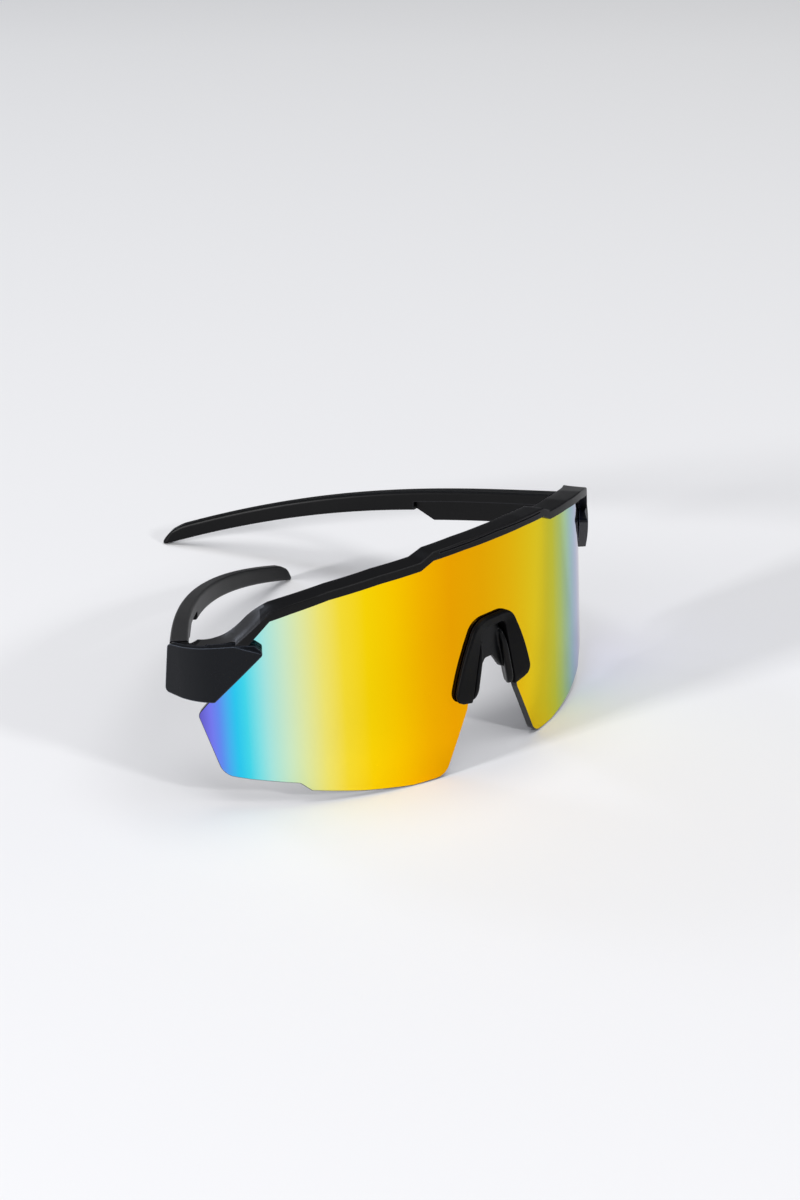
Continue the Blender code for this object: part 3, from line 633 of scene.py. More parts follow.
@dataclass(frozen=True)
class MouldedNylon:
    """Injection-moulded nylon from a spark-eroded mould.

    The mould's fine grain gives the eye a satin black without sharp reflections. Its rounded edges
    are painted paler, a painted highlight where they catch the light.

    Attributes:
        name: The material's name.
        colour: The colour of the flats.
        edge_highlight: The colour painted on the edges as a highlight.
        rough: The least and greatest roughness.
        grain_mm: The width of the mould's grain; 0.1 mm in truth, drawn coarse enough to show.
        grain_depth_mm: How deep the grain is.
        flow_mm: The width of the slow change in gloss that the melt's flow leaves.
        highlight_reach_mm: How far from an edge the painted highlight reaches.
        highlight_turn: The cosine of the edge's turn where the painted highlight starts and is in
            full.
        gloss: The specular level; the coarser the grain, the more of the gloss it swallows.
    """

    name: str
    colour: str
    edge_highlight: str
    rough: tuple[float, float]
    grain_mm: float = 0.35
    grain_depth_mm: float = 0.04
    flow_mm: float = 14.0
    highlight_reach_mm: float = 0.4
    highlight_turn: tuple[float, float] = (0.99, 0.90)
    gloss: float = 0.14

    def build(self) -> bpy.types.Material:
        """Builds the satin surface with its grain and painted edge highlights.

        Returns:
            The material.
        """
        material, tree, shader, place = blank_material(self.name)
        patches = {"Vector": place, "Scale": 1000 / self.grain_mm, "Detail": 2.0}
        grain = add_node(tree, "ShaderNodeTexNoise", patches).outputs["Fac"]
        patches = {"Vector": place, "Scale": 1000 / self.flow_mm, "Detail": 3.0}
        flow = add_node(tree, "ShaderNodeTexNoise", patches).outputs["Fac"]
        # The rounded edges are painted paler: a painted highlight, not wear.
        edge_rounding = add_node(tree, "ShaderNodeBevel", {"Radius": self.highlight_reach_mm / 1000}, samples=6)
        flat = add_node(tree, "ShaderNodeNewGeometry").outputs["Normal"]
        level = add_node(
            tree, "ShaderNodeVectorMath", {0: edge_rounding.outputs["Normal"], 1: flat}, operation="DOT_PRODUCT"
        )
        span = {"Value": level.outputs["Value"]}
        span.update(zip(("From Min", "From Max"), self.highlight_turn))
        edge = add_node(tree, "ShaderNodeMapRange", span).outputs["Result"]
        # A mix of two colours takes them in sockets 6 and 7 and gives its own in socket 2
        colours = {0: edge, 6: srgb(self.colour), 7: srgb(self.edge_highlight)}
        colour = add_node(tree, "ShaderNodeMix", colours, data_type="RGBA").outputs[2]
        relief = {"Height": grain, "Strength": 0.25, "Distance": self.grain_depth_mm / 1000}
        span = {"Value": flow, "To Min": self.rough[0], "To Max": self.rough[1]}
        looks = {
            "Base Color": colour,
            "Roughness": add_node(tree, "ShaderNodeMapRange", span).outputs["Result"],
            "Normal": add_node(tree, "ShaderNodeBump", relief).outputs["Normal"],
            "IOR": 1.53,
            "Specular IOR Level": self.gloss,
        }
        fill(tree, shader, looks)
        return material


@dataclass(frozen=True)
class SoftRubber:
    """Moulded thermoplastic rubber with a satin, slightly sticky skin.

    It gives the eye a deep black with a soft blue-grey edge light.

    Attributes:
        colour: Its colour.
        rough: Its least and greatest roughness.
        pore_mm: The width of its pores.
        pore_depth_mm: How deep they are.
    """

    colour: str = "#08090b"
    rough: tuple[float, float] = (0.26, 0.36)
    pore_mm: float = 0.5
    pore_depth_mm: float = 0.05

    def build(self) -> bpy.types.Material:
        """Builds the skin with its fine pores.

        Returns:
            The material.
        """
        material, tree, shader, place = blank_material("moulded_soft_rubber")
        patches = {"Vector": place, "Scale": 1000 / self.pore_mm, "Detail": 3.0}
        pores = add_node(tree, "ShaderNodeTexNoise", patches).outputs["Fac"]
        relief = {"Height": pores, "Strength": 0.2, "Distance": self.pore_depth_mm / 1000}
        span = {"Value": pores, "To Min": self.rough[0], "To Max": self.rough[1]}
        looks = {
            "Base Color": srgb(self.colour),
            "Roughness": add_node(tree, "ShaderNodeMapRange", span).outputs["Result"],
            "Normal": add_node(tree, "ShaderNodeBump", relief).outputs["Normal"],
            "IOR": 1.5,
            "Specular IOR Level": 0.16,
        }
        fill(tree, shader, looks)
        return material


@dataclass(frozen=True)
class TurnedMetal:
    """A small lathe-turned fastener: bright metal with fine rings round its axis.

    Attributes:
        name: The material's name.
        colour: The metal's colour.
        rough: Its least and greatest roughness.
        ring_mm: The spacing of the tool marks; 0.05 mm in truth, drawn coarse enough to show.
        ring_depth_mm: How deep they are.
    """

    name: str
    colour: str
    rough: tuple[float, float] = (0.22, 0.34)
    ring_mm: float = 0.9425
    ring_depth_mm: float = 0.02

    def build(self) -> bpy.types.Material:
        """Builds the turned surface.

        Returns:
            The material.
        """
        material, tree, shader, place = blank_material(self.name)
        # The wave pattern turns by 20 radians in each unit of length at a scale of 1
        waves = {"Vector": place, "Scale": 1000 * math.tau / 20 / self.ring_mm, "Distortion": 0.4}
        marks = add_node(tree, "ShaderNodeTexWave", waves, bands_direction="Z").outputs["Fac"]
        relief = {"Height": marks, "Strength": 0.15, "Distance": self.ring_depth_mm / 1000}
        span = {"Value": marks, "To Min": self.rough[0], "To Max": self.rough[1]}
        looks = {
            "Base Color": srgb(self.colour),
            "Roughness": add_node(tree, "ShaderNodeMapRange", span).outputs["Result"],
            "Normal": add_node(tree, "ShaderNodeBump", relief).outputs["Normal"],
            "Metallic": 1.0,
        }
        fill(tree, shader, looks)
        return material


@dataclass(frozen=True)
class CoatedPaper:
    """Seamless pale studio paper, which gives the eye a matt white with hardly any tooth.

    The sheet is paler toward its far edge, so that it stays as light where the lamps fade.

    Attributes:
        near: Its colour near the camera.
        far: Its colour far from it.
        fade: The sums of x and y between which the one turns into the other, in metres.
        rough: Its least and greatest roughness.
        tooth_mm: The width of the paper's tooth; finer in truth, drawn coarse enough to show.
    """

    near: str = "#e9e9eb"
    far: str = "#ffffff"
    fade: tuple[float, float] = (-0.15, 1.15)
    rough: tuple[float, float] = (0.75, 0.9)
    tooth_mm: float = 1.1111

    def build(self) -> bpy.types.Material:
        """Builds the floor's matt surface.

        Returns:
            The material.
        """
        material, tree, shader, place = blank_material("seamless_studio_paper")
        patches = {"Vector": place, "Scale": 1000 / self.tooth_mm, "Detail": 2.0}
        tooth = add_node(tree, "ShaderNodeTexNoise", patches).outputs["Fac"]
        split = add_node(tree, "ShaderNodeSeparateXYZ", {"Vector": place}).outputs
        away = add_node(tree, "ShaderNodeMath", {0: split["X"], 1: split["Y"]}, operation="ADD")
        span = {"Value": away.outputs[0], "From Min": self.fade[0], "From Max": self.fade[1]}
        share = add_node(tree, "ShaderNodeMapRange", span).outputs["Result"]
        stops = ((0.0, self.near), (1.0, self.far))
        span = {"Value": tooth, "To Min": self.rough[0], "To Max": self.rough[1]}
        looks = {
            "Base Color": add_node(tree, "ShaderNodeValToRGB", {"Fac": share}, stops).outputs["Color"],
            "Roughness": add_node(tree, "ShaderNodeMapRange", span).outputs["Result"],
            "Specular IOR Level": 0.2,
        }
        fill(tree, shader, looks)
        return material


class Palette:
    """Every finish of the glasses, built once and shared by the pieces."""

    def __init__(self, lens_radius: float) -> None:
        """Builds the finishes.

        Args:
            lens_radius: The radius that the mirror's rainbow is laid along.
        """
        self.mirror = MirrorCoating(lens_radius).build()
        self.smoke = SmokedPolycarbonate("smoked_polycarbonate", "#1b1614", (0.05, 0.11)).build()
        self.edge = SmokedPolycarbonate("ground_polycarbonate_edge", "#101014", (0.28, 0.42)).build()
        # The second colour of each pair is painted on the rounded edges as a highlight.
        black = ("#0a0a0b", "#2a2a2e")
        grained = (*black, (0.37, 0.46))
        self.nylon = MouldedNylon("satin_moulded_nylon", *grained).build()
        self.fine = MouldedNylon("fine_grained_moulded_nylon", *grained, gloss=0.10).build()
        self.dull = MouldedNylon("coarse_grained_moulded_nylon", *grained, gloss=0.05).build()
        smooth = (*black, (0.38, 0.44))
        self.polish = MouldedNylon("polished_moulded_nylon", *smooth, gloss=0.90).build()
        # The cover's second colour is its painted edge highlight.
        blue_black = ("#0b0d11", "#454a54", (0.24, 0.31))
        self.cover = MouldedNylon("blue_black_moulded_nylon", *blue_black).build()
        self.rubber = SoftRubber().build()
        self.steel = TurnedMetal("turned_stainless_steel", "#c4c4c6").build()
        self.brass = TurnedMetal("turned_brass", "#cfae6a").build()


# The front's shape


@dataclass(frozen=True)
class FrontForm:
    """The curved front that the lens, the bar, the covers and the nose piece share.

    Attributes:
        radius: The lens cylinder's radius.
        wall: The lens's thickness.
        half_arc: Arc length from the middle to the lens's end.
        height: The lens's nominal height.
        lean: How far the front leans back.
        bend_lead: How far before the lens's end the frame starts to bend toward the hinge.
        bend_radius: The radius of that bend.
        end_heading: The direction in which its ends run, from straight across.
        hinge_lead: How far past the lens's end the hinge pins stand.
        hinge_sink: How far they stand behind the frame's outer face.
        hinge_rise: The height of their middles, as a share of the lens's height.
        arch_corner: The radius of the arch's upper corners.
    """

    radius: float = 0.0850
    wall: float = 0.0019
    half_arc: float = 0.0771
    height: float = 0.0582
    lean: float = math.radians(3.4)
    bend_lead: float = 0.0045
    bend_radius: float = 0.0114
    end_heading: float = math.radians(83.94)
    hinge_lead: float = 0.0062
    hinge_sink: float = 0.0014
    hinge_rise: float = 0.632
    arch_corner: float = 0.0033

    @property
    def bend_start(self) -> float:
        """Where the frame leaves the cylinder, as arc length from the middle."""
        return self.half_arc - self.bend_lead

    def on_lens(self, across: float, stand: float, up: float) -> Vector:
        """Finds a place on the lens.

        Args:
            across: The arc length from the middle.
            stand: The distance outward from the lens's face.
            up: The height over the lens's base line.

        Returns:
            The place in the front's own frame.
        """
        angle = across / self.radius
        reach = self.radius + stand
        return Vector((reach * math.sin(angle), self.radius - reach * math.cos(angle), up))

    def on_front(self, across: float, stand: float, up: float) -> Vector:
        """Finds a place on the frame, which bends back to the hinge past the lens's corner.

        Args:
            across: The arc length from the middle.
            stand: The distance outward from the lens's face, or from its run past the corner.
            up: The height over the lens's base line.

        Returns:
            The place in the front's own frame.
        """
        side, along = math.copysign(1.0, across), abs(across)
        if along <= self.bend_start:
            return self.on_lens(across, stand, up)
        start = self.bend_start / self.radius
        turn = min((along - self.bend_start) / self.bend_radius, self.end_heading - start)
        heading = start + turn
        centre = self.on_lens(self.bend_start, 0.0, up)
        centre -= self.bend_radius * Vector((math.sin(start), -math.cos(start), 0.0))
        reach = self.bend_radius + stand
        spot = centre + reach * Vector((math.sin(heading), -math.cos(heading), 0.0))
        rest = along - self.bend_start - turn * self.bend_radius
        spot += rest * Vector((math.cos(heading), math.sin(heading), 0.0))
        return Vector((side * spot.x, spot.y, spot.z))

    @property
    def lens_shares(self) -> tuple[tuple[float, float, float], ...]:
        """Points of half the lens: shares of its half arc and height, and each corner's radius."""
        return (
            (0.060, 0.622, self.arch_corner),
            (0.114, 0.268, 0.0),
            (0.210, 0.000, 0.0044),
            (0.331, 0.000, 0.0),
            (0.499, 0.027, 0.0),
            (0.664, 0.064, 0.0012),
            (0.699, 0.103, 0.0012),
            (0.856, 0.139, 0.0),
            (0.933, 0.160, 0.0046),
            (1.000, 0.433, 0.0020),
            (0.968, 0.481, 0.0),
            (0.946, 0.512, 0.0),
            (0.936, 0.558, 0.0),
            (0.905, 0.636, 0.0),
            (0.856, 0.730, 0.0),
            (0.761, 0.864, 0.0020),
            (0.581, 0.930, 0.0),
            (0.424, 0.962, 0.0),
            (0.289, 0.978, 0.0),
            (0.245, 1.009, 0.0),
            (0.130, 1.017, 0.0),
        )

    def lens_half(self) -> Outline:
        """Rounds the corners of half the lens.

        Returns:
            The right half of its outline.
        """
        shares = self.lens_shares
        points = [(0.0, shares[0][1] * self.height, 0.0)]
        points += [(a * self.half_arc, h * self.height, c) for a, h, c in shares]
        points.append((0.0, shares[-1][1] * self.height, 0.0))
        return rounded(points)[1:-1]

    @cache
    def drop(self) -> float:
        """How far below its own base line the leaning lens reaches."""
        spots = [self.on_lens(spot.x, -self.wall, spot.y) for spot in self.lens_half()]
        return min(s.z * math.cos(self.lean) - s.y * math.sin(self.lean) for s in spots)

    def hinge_spot(self, side: Side) -> Vector:
        """Finds the middle of a hinge pin.

        Args:
            side: The pin's side.

        Returns:
            The middle, before the front is shifted into the row frame.
        """
        across = side.value * (self.half_arc + self.hinge_lead)
        spot = self.on_front(across, -self.hinge_sink, self.hinge_rise * self.height)
        spot.z = spot.z * math.cos(self.lean) - spot.y * math.sin(self.lean) - self.drop()
        return spot

    def shift(self) -> float:
        """How far the row frame's origin lies behind the front's own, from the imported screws."""
        low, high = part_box("hinge_screw_left")
        return (low[1] + high[1]) / 2 - self.hinge_spot(Side.LEFT).y

    def place(self) -> Matrix:
        """Where the front's own frame lies in the row frame."""
        lift = Matrix.Translation((0.0, self.shift(), -self.drop()))
        return lift @ Matrix.Rotation(-self.lean, 4, "X")

    def hinge(self, side: Side, fold: float = 0.0) -> Matrix:
        """Where a hinge pin's frame lies, turned by the temple's fold."""
        spot = Matrix.Translation(self.hinge_spot(side) + Vector((0.0, self.shift(), 0.0)))
        return spot @ Matrix.Rotation(side.value * fold, 4, "Z")


# The pieces


def dress(
    made: bpy.types.Object, materials: Sequence[bpy.types.Material], body: str, node: str
) -> bpy.types.Object:
    """Gives a finished piece its materials and its place in the frame.

    Args:
        made: The piece.
        materials: Its materials, in slot order.
        body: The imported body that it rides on.
        node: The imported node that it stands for.

    Returns:
        The same piece.
    """
    made.data.materials.clear()
    for material in materials:
        made.data.materials.append(material)
    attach(made, body)
    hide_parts(node)
    log.info("%s: %d faces", made.name, len(made.data.polygons))
    return made


@dataclass(frozen=True)
class ShieldLens:
    """The one-piece lens, polished on both faces and ground round its edge.

    Attributes:
        form: The front that it belongs to.
        chamfer: The width of the chamfer round each face.
        slice_width: The widest flat across its curve.
        facing: The least cosine between a polished face and straight outward or inward.
    """

    form: FrontForm
    chamfer: float = 0.00022
    slice_width: float = 0.0011
    facing: float = 0.95

    def build(self, palette: Palette) -> None:
        """Builds the lens and coats its front.

        Args:
            palette: The finishes.
        """
        outline = mirrored(self.form.lens_half())
        inset = grown(outline, -self.chamfer)
        back = -self.form.wall
        layers = (
            (inset, back),
            (outline, back + self.chamfer),
            (outline, -self.chamfer),
            (inset, 0.0),
        )
        sheet = laid_sheet(layers, self.form.on_lens, self.slice_width)
        made = Blank("shield_lens", sheet, self.form.place()).finish(sharp=math.radians(12.0))
        finishes = (palette.edge, palette.mirror, palette.smoke)
        dress(made, finishes, "front", "mirror_lens")
        axis = Vector((0.0, self.form.radius, 0.0))
        for face in made.data.polygons:
            out = Vector((face.center.x, face.center.y, 0.0)) - axis
            turn = face.normal.dot(out.normalized())
            face.material_index = 1 if turn > self.facing else 2 if turn < -self.facing else 0


@dataclass(frozen=True)
class BrowBar:
    """The moulded bar over the lens, swept down at each end to a hinge.

    Attributes:
        form: The front that it belongs to.
        lip: How far it stands out before the lens.
        depth: How far it reaches behind the lens's face.
        edge: The rounding of its edges.
        crisping: How much of that rounding the edges beside the scoop lose where it is deepest.
        scoop_depth: How deep the scoop is there.
        scoop_rise: How steeply a face has to look up to belong to the scoop.
        hollow_steps: How many flats cross the scoop.
        step: The spacing of the bar's sections.
        groove_width: The width of the line moulded under the ridge.
        groove_depth: Its depth.
        groove_drop: Its distance below the ridge.
        groove_half_arc: Half its length.
        polished: The part of the half arc where the scoop is polished.
        scoop: Where along the half arc the scoop in the swept end starts, is deepest, and ends.
        shares: Stations of half the bar: arc share, then ridge, rear edge and foot as shares of the
            lens height, then the depth behind the lens as a share of the bar's.
    """

    form: FrontForm
    lip: float = 0.0024
    depth: float = 0.0038
    edge: float = 0.0004
    crisping: float = 0.6
    scoop_depth: float = 0.0013
    scoop_rise: float = 0.4
    hollow_steps: int = 6
    step: float = 0.0011
    groove_width: float = 0.0004
    groove_depth: float = 0.0004
    groove_drop: float = 0.0004
    groove_half_arc: float = 0.0172
    polished: tuple[float, float] = (0.785, 0.98)
    scoop: tuple[float, float, float] = (0.73, 0.83, 0.98)
    shares: tuple[tuple[float, float, float, float, float], ...] = (
        (0.000, 1.042, 1.037, 1.000, 0.84),
        (0.130, 1.040, 1.035, 0.998, 0.84),
        (0.245, 1.030, 1.025, 0.990, 0.86),
        (0.289, 0.997, 0.994, 0.959, 1.00),
        (0.424, 0.981, 0.980, 0.943, 1.00),
        (0.581, 0.949, 0.949, 0.911, 1.00),
        (0.700, 0.909, 0.914, 0.869, 1.00),
        (0.761, 0.882, 0.896, 0.845, 1.00),
        (0.816, 0.813, 0.858, 0.765, 1.00),
        (0.868, 0.751, 0.800, 0.687, 0.97),
        (0.908, 0.748, 0.766, 0.610, 0.92),
        (0.953, 0.744, 0.749, 0.540, 0.84),
        (1.031, 0.739, 0.741, 0.536, 0.66),
        (1.062, 0.738, 0.738, 0.536, 0.62),
    )

    def stations(self) -> list[list[float]]:
        """Fills the bar's table with finer stations, the swept rear edge as a smooth curve.

        Returns:
            Rows like those of the table.
        """
        rows: list[list[float]] = []
        table, last = self.shares, len(self.shares) - 1
        for index in range(last):
            row, following = table[index], table[index + 1]
            before, after = table[max(index - 1, 0)], table[min(index + 2, last)]
            run = following[0] - row[0]
            pieces = max(1, round(run * self.form.half_arc / self.step))
            for step in range(pieces):
                share = step / pieces
                station = [a + (b - a) * share for a, b in zip(row, following)]
                if row[0] >= self.scoop[0]:
                    leave = (following[2] - before[2]) / (following[0] - before[0]) * run
                    arrive = (after[2] - row[2]) / (after[0] - row[0]) * run
                    rise = following[2] - row[2]
                    bend = share * (1 - share)
                    station[2] += bend * ((leave - rise) * (1 - share) - (arrive - rise) * share)
                rows.append(station)
        rows.append(list(table[last]))
        return rows

    def ring(self, side: Side, station: Sequence[float]) -> Ring:
        """Draws one section: a rounded lip, a top that is hollowed where it sweeps down, a rear.

        Args:
            side: The half of the bar that it is in.
            station: Its row of the table.

        Returns:
            The section's points.
        """
        arc, ridge, rear, foot, depth = station
        across = side.value * arc * self.form.half_arc
        ridge, rear, foot = (share * self.form.height for share in (ridge, rear, foot))
        back = -depth * self.depth
        start, deepest, end = self.scoop
        ramp = min((arc - start) / (deepest - start), (end - arc) / (end - deepest))
        sag = self.scoop_depth * max(0.0, ramp)
        inner = back + self.edge
        crisp = self.edge * (1.0 - self.crisping * max(0.0, ramp))
        points = [(self.lip, foot, self.edge / 2), (self.lip, ridge, crisp)]
        for step in range(1, self.hollow_steps):
            share = step / self.hollow_steps
            dip = 4 * share * (1.0 - share) * sag
            stand = self.lip + (inner - self.lip) * share
            points.append((stand, ridge + (rear - ridge) * share - dip, 0.0))
        points += [(back, rear - self.edge / 4, crisp), (back, foot, self.edge / 2)]
        return [self.form.on_front(across, spot.x, spot.y) for spot in rounded(points, steps=3)]

    def build(self, palette: Palette, hinge: "HingeForm", cover: "CoverForm") -> None:
        """Builds the bar with its lens slot, groove, hinge ends and cover seats.

        Args:
            palette: The finishes.
            hinge: The hinge at each end.
            cover: The cover over each hinge.
        """
        form, half = self.form, self.stations()
        rings = [self.ring(Side.LEFT, row) for row in reversed(half)]
        rings += [self.ring(Side.RIGHT, row) for row in half[1:]]
        blank = Blank("brow_bar", loft(rings), form.place())
        slot = grown(mirrored(form.lens_half()), GAP / 2)
        room = slab(slot, -form.wall - GAP / 2, GAP / 2, form.on_lens, 2 * self.step)
        blank.work(Operation.CUT, room)
        blank.work(Operation.CUT, self.groove())
        for side in Side:
            for operation, tool in hinge.frame_tools(side):
                blank.work(operation, tool, form.hinge(side))
            for tool in cover.rooms(side):
                blank.work(Operation.CUT, tool)
        finishes = (palette.nylon, palette.polish)
        made = dress(blank.finish(), finishes, "front", "brow_frame")
        self.polish_scoops(made)

    def polish_scoops(self, made: bpy.types.Object) -> None:
        """Marks the faces of both scoops, which the mould leaves polished.

        Args:
            made: The bar, dressed in its two finishes.
        """
        form = self.form
        near, far = (form.on_front(share * form.half_arc, 0.0, 0.0) for share in self.polished)
        span = far - near
        for face in made.data.polygons:
            spot = Vector((abs(face.center.x), face.center.y, 0.0))
            along = (spot - near).dot(span) / span.length_squared
            inside = 0.0 < along < 1.0 and face.normal.z > self.scoop_rise
            face.material_index = 1 if inside else 0

    def groove(self) -> bmesh.types.BMesh:
        """Draws the fine line moulded under the ridge of the raised middle.

        Returns:
            The shape that cuts it.
        """
        middle = self.shares[0][1] * self.form.height - self.groove_drop
        end = self.shares[2][1] * self.form.height - self.groove_drop
        reach, width = self.groove_half_arc, self.groove_width
        line = [
            Vector((-reach, end - width)),
            Vector((0.0, middle - width)),
            Vector((reach, end - width)),
            Vector((reach, end)),
            Vector((0.0, middle)),
            Vector((-reach, end)),
        ]
        low, high = self.lip - self.groove_depth, self.lip + OVERRUN
        return slab(line, low, high, self.form.on_front, 2 * self.step)


@dataclass(frozen=True)
class CoverForm:
    """The plate over each hinge and lens corner.

    Attributes:
        form: The front that it belongs to.
        stand: How far it stands out before the lens.
        wall: Its thickness over the knuckles.
        seat_lead: How far before the lens's end it turns as thin as that.
        edge: The rounding of its edges.
        facet_depth: How deep the facet at its point cuts.
        facet_rise: The height over which the facet gets that deep.
        slice_width: The widest flat across its curve.
        shares: Its points as shares of the lens's half arc and height, and each corner's radius.
        facet: The ends of the line where the facet starts, in the same shares.
    """

    form: FrontForm
    stand: float = 0.0026
    wall: float = 0.0014
    seat_lead: float = 0.0036
    edge: float = 0.0004
    facet_depth: float = 0.0011
    facet_rise: float = 0.0022
    slice_width: float = 0.0008
    shares: tuple[tuple[float, float, float], ...] = (
        (0.783, 0.710, 0.0009),
        (0.938, 0.505, 0.0009),
        (1.030, 0.511, 0.0),
        (1.099, 0.520, 0.0012),
        (1.073, 0.736, 0.0012),
        (0.973, 0.742, 0.0),
        (0.869, 0.748, 0.0),
        (0.810, 0.743, 0.0009),
    )
    facet: tuple[tuple[float, float], ...] = ((0.772, 0.702), (0.880, 0.752))

    @property
    def seat(self) -> float:
        """Where the cover turns thin, as arc length from the middle."""
        return self.form.half_arc - self.seat_lead

    def outline(self, side: Side) -> Outline:
        """The cover's outline on one side."""
        points = [(a * self.form.half_arc, h * self.form.height, c) for a, h, c in self.shares]
        return [Vector((side.value * spot.x, spot.y)) for spot in rounded(points)]

    def rooms(self, side: Side) -> list[bmesh.types.BMesh]:
        """Finds the spaces that the cover takes from the bar, before its seat and behind it.

        Args:
            side: The cover's side.

        Returns:
            The shapes that cut them.
        """
        outline = grown(self.outline(side), GAP)
        top = self.stand + OVERRUN
        tools = []
        for pick, limit, low in (
            (min, self.seat + GAP, 0.0),
            (max, self.seat, self.stand - self.wall - GAP),
        ):
            shaped = [Vector((side.value * pick(abs(spot.x), limit), spot.y)) for spot in outline]
            pairs = zip(shaped, shaped[-1:] + shaped[:-1])
            kept = [spot for spot, before in pairs if (spot - before).length > GAP / 10]
            tools.append(slab(kept, low, top, self.form.on_front, 2 * self.slice_width))
        return tools

    def build(self, palette: Palette, side: Side) -> None:
        """Builds one cover, thick over the lens corner, thin over the knuckles, with its facet.

        Args:
            palette: The finishes.
            side: The cover's side.
        """
        form, outline = self.form, self.outline(side)
        sheet = slab(outline, GAP, self.stand, form.on_front, self.slice_width)
        blank = Blank(f"cover_plate_{side.label}", sheet, form.place())
        reach = max(abs(spot.x) for spot in outline) + OVERRUN
        corners = ((self.seat, 0.0), (reach, 0.0), (reach, form.height), (self.seat, form.height))
        seat = [Vector((side.value * across, up)) for across, up in corners]
        room = slab(seat, -form.wall, self.stand - self.wall, form.on_front, self.slice_width)
        blank.work(Operation.CUT, room)
        rings = []
        for arc, rise in self.facet:
            across, up = side.value * arc * form.half_arc, rise * form.height
            out = self.stand + self.facet_depth
            corners = (
                (self.stand, up),
                (self.stand - self.facet_depth, up + self.facet_rise),
                (out, up + self.facet_rise),
                (out, up),
            )
            rings.append([form.on_front(across, stand, high) for stand, high in corners])
        blank.work(Operation.CUT, loft(rings))
        blank.soften(self.edge)
        name = f"end_cover_{side.label}"
        dress(blank.finish(), (palette.cover,), "front", name)


@dataclass(frozen=True)
class HingeForm:
    """The knuckles, tongue, screw bore and nut pocket of one hinge, from the pin's middle.

    Attributes:
        knuckle: The radius of the knuckles and the tongue.
        knuckle_foot: The height of the lower knuckle's foot.
        knuckle_top: The height of the upper knuckle's top.
        tongue_foot: The height of the tongue's foot.
        tongue_top: The height of its top.
        swing: The radius of the room in which the temple's root turns.
        tie_reach: How far the ties of the knuckles reach into the bar.
        tie_inner: How far they spread inward of the pin.
        tie_outer: How far they spread outward of it.
        screw: The screw's radius.
        head: The radius of its head.
        head_height: The height of its head.
        nut: The nut's radius.
        nut_height: The nut's height.
    """

    knuckle: float = 0.0019
    knuckle_foot: float = -0.0055
    knuckle_top: float = 0.0047
    tongue_foot: float = -0.0029
    tongue_top: float = 0.0005
    swing: float = 0.00325
    tie_reach: float = 0.0052
    tie_inner: float = 0.0006
    tie_outer: float = 0.0015
    screw: float = 0.0006
    head: float = 0.00115
    head_height: float = 0.0008
    nut: float = 0.0012
    nut_height: float = 0.0015

    def room(self, radius: float) -> bmesh.types.BMesh:
        """A round space about the pin, taller than the knuckles."""
        return pin(radius, self.knuckle_foot - OVERRUN, self.knuckle_top + OVERRUN)

    def frame_tools(self, side: Side) -> list[tuple[Operation, bmesh.types.BMesh]]:
        """Shapes what the bar's end loses and gains at the hinge.

        Args:
            side: The hinge's side.

        Returns:
            Operations and shapes in order, in the hinge pin's own frame.
        """
        tools = [(Operation.CUT, self.room(self.swing))]
        spans = (
            (self.knuckle_foot, self.tongue_foot - GAP),
            (self.tongue_top + GAP, self.knuckle_top),
        )
        for foot, top in spans:
            tools.append((Operation.JOIN, pin(self.knuckle, foot, top)))
            edges = sorted((-side.value * self.tie_inner, side.value * self.tie_outer))
            low = (edges[0], -self.tie_reach, foot + GAP / 2)
            high = (edges[1], 0.0, top - GAP / 2)
            tools.append((Operation.JOIN, block(low, high)))
        nut_top = self.tongue_top + GAP + self.nut_height + 2 * GAP
        below = self.knuckle_foot - OVERRUN
        tools += [
            (Operation.CUT, pin(self.screw + GAP, below, nut_top + GAP)),
            (Operation.CUT, pin(self.head + GAP, below, self.knuckle_foot + self.head_height + GAP)),
            (Operation.CUT, pin(self.nut + GAP, self.tongue_top, nut_top)),
        ]
        return tools

    def dress_fasteners(self, palette: Palette) -> None:
        """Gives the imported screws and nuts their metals.

        Args:
            palette: The finishes.
        """
        for side in Side:
            for kind, metal in (("screw", palette.steel), ("nut", palette.brass)):
                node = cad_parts[f"hinge_{kind}_{side.label}"]
                node.data.materials.clear()
                node.data.materials.append(metal)
                log.info("%s: packed mesh kept", node.name)


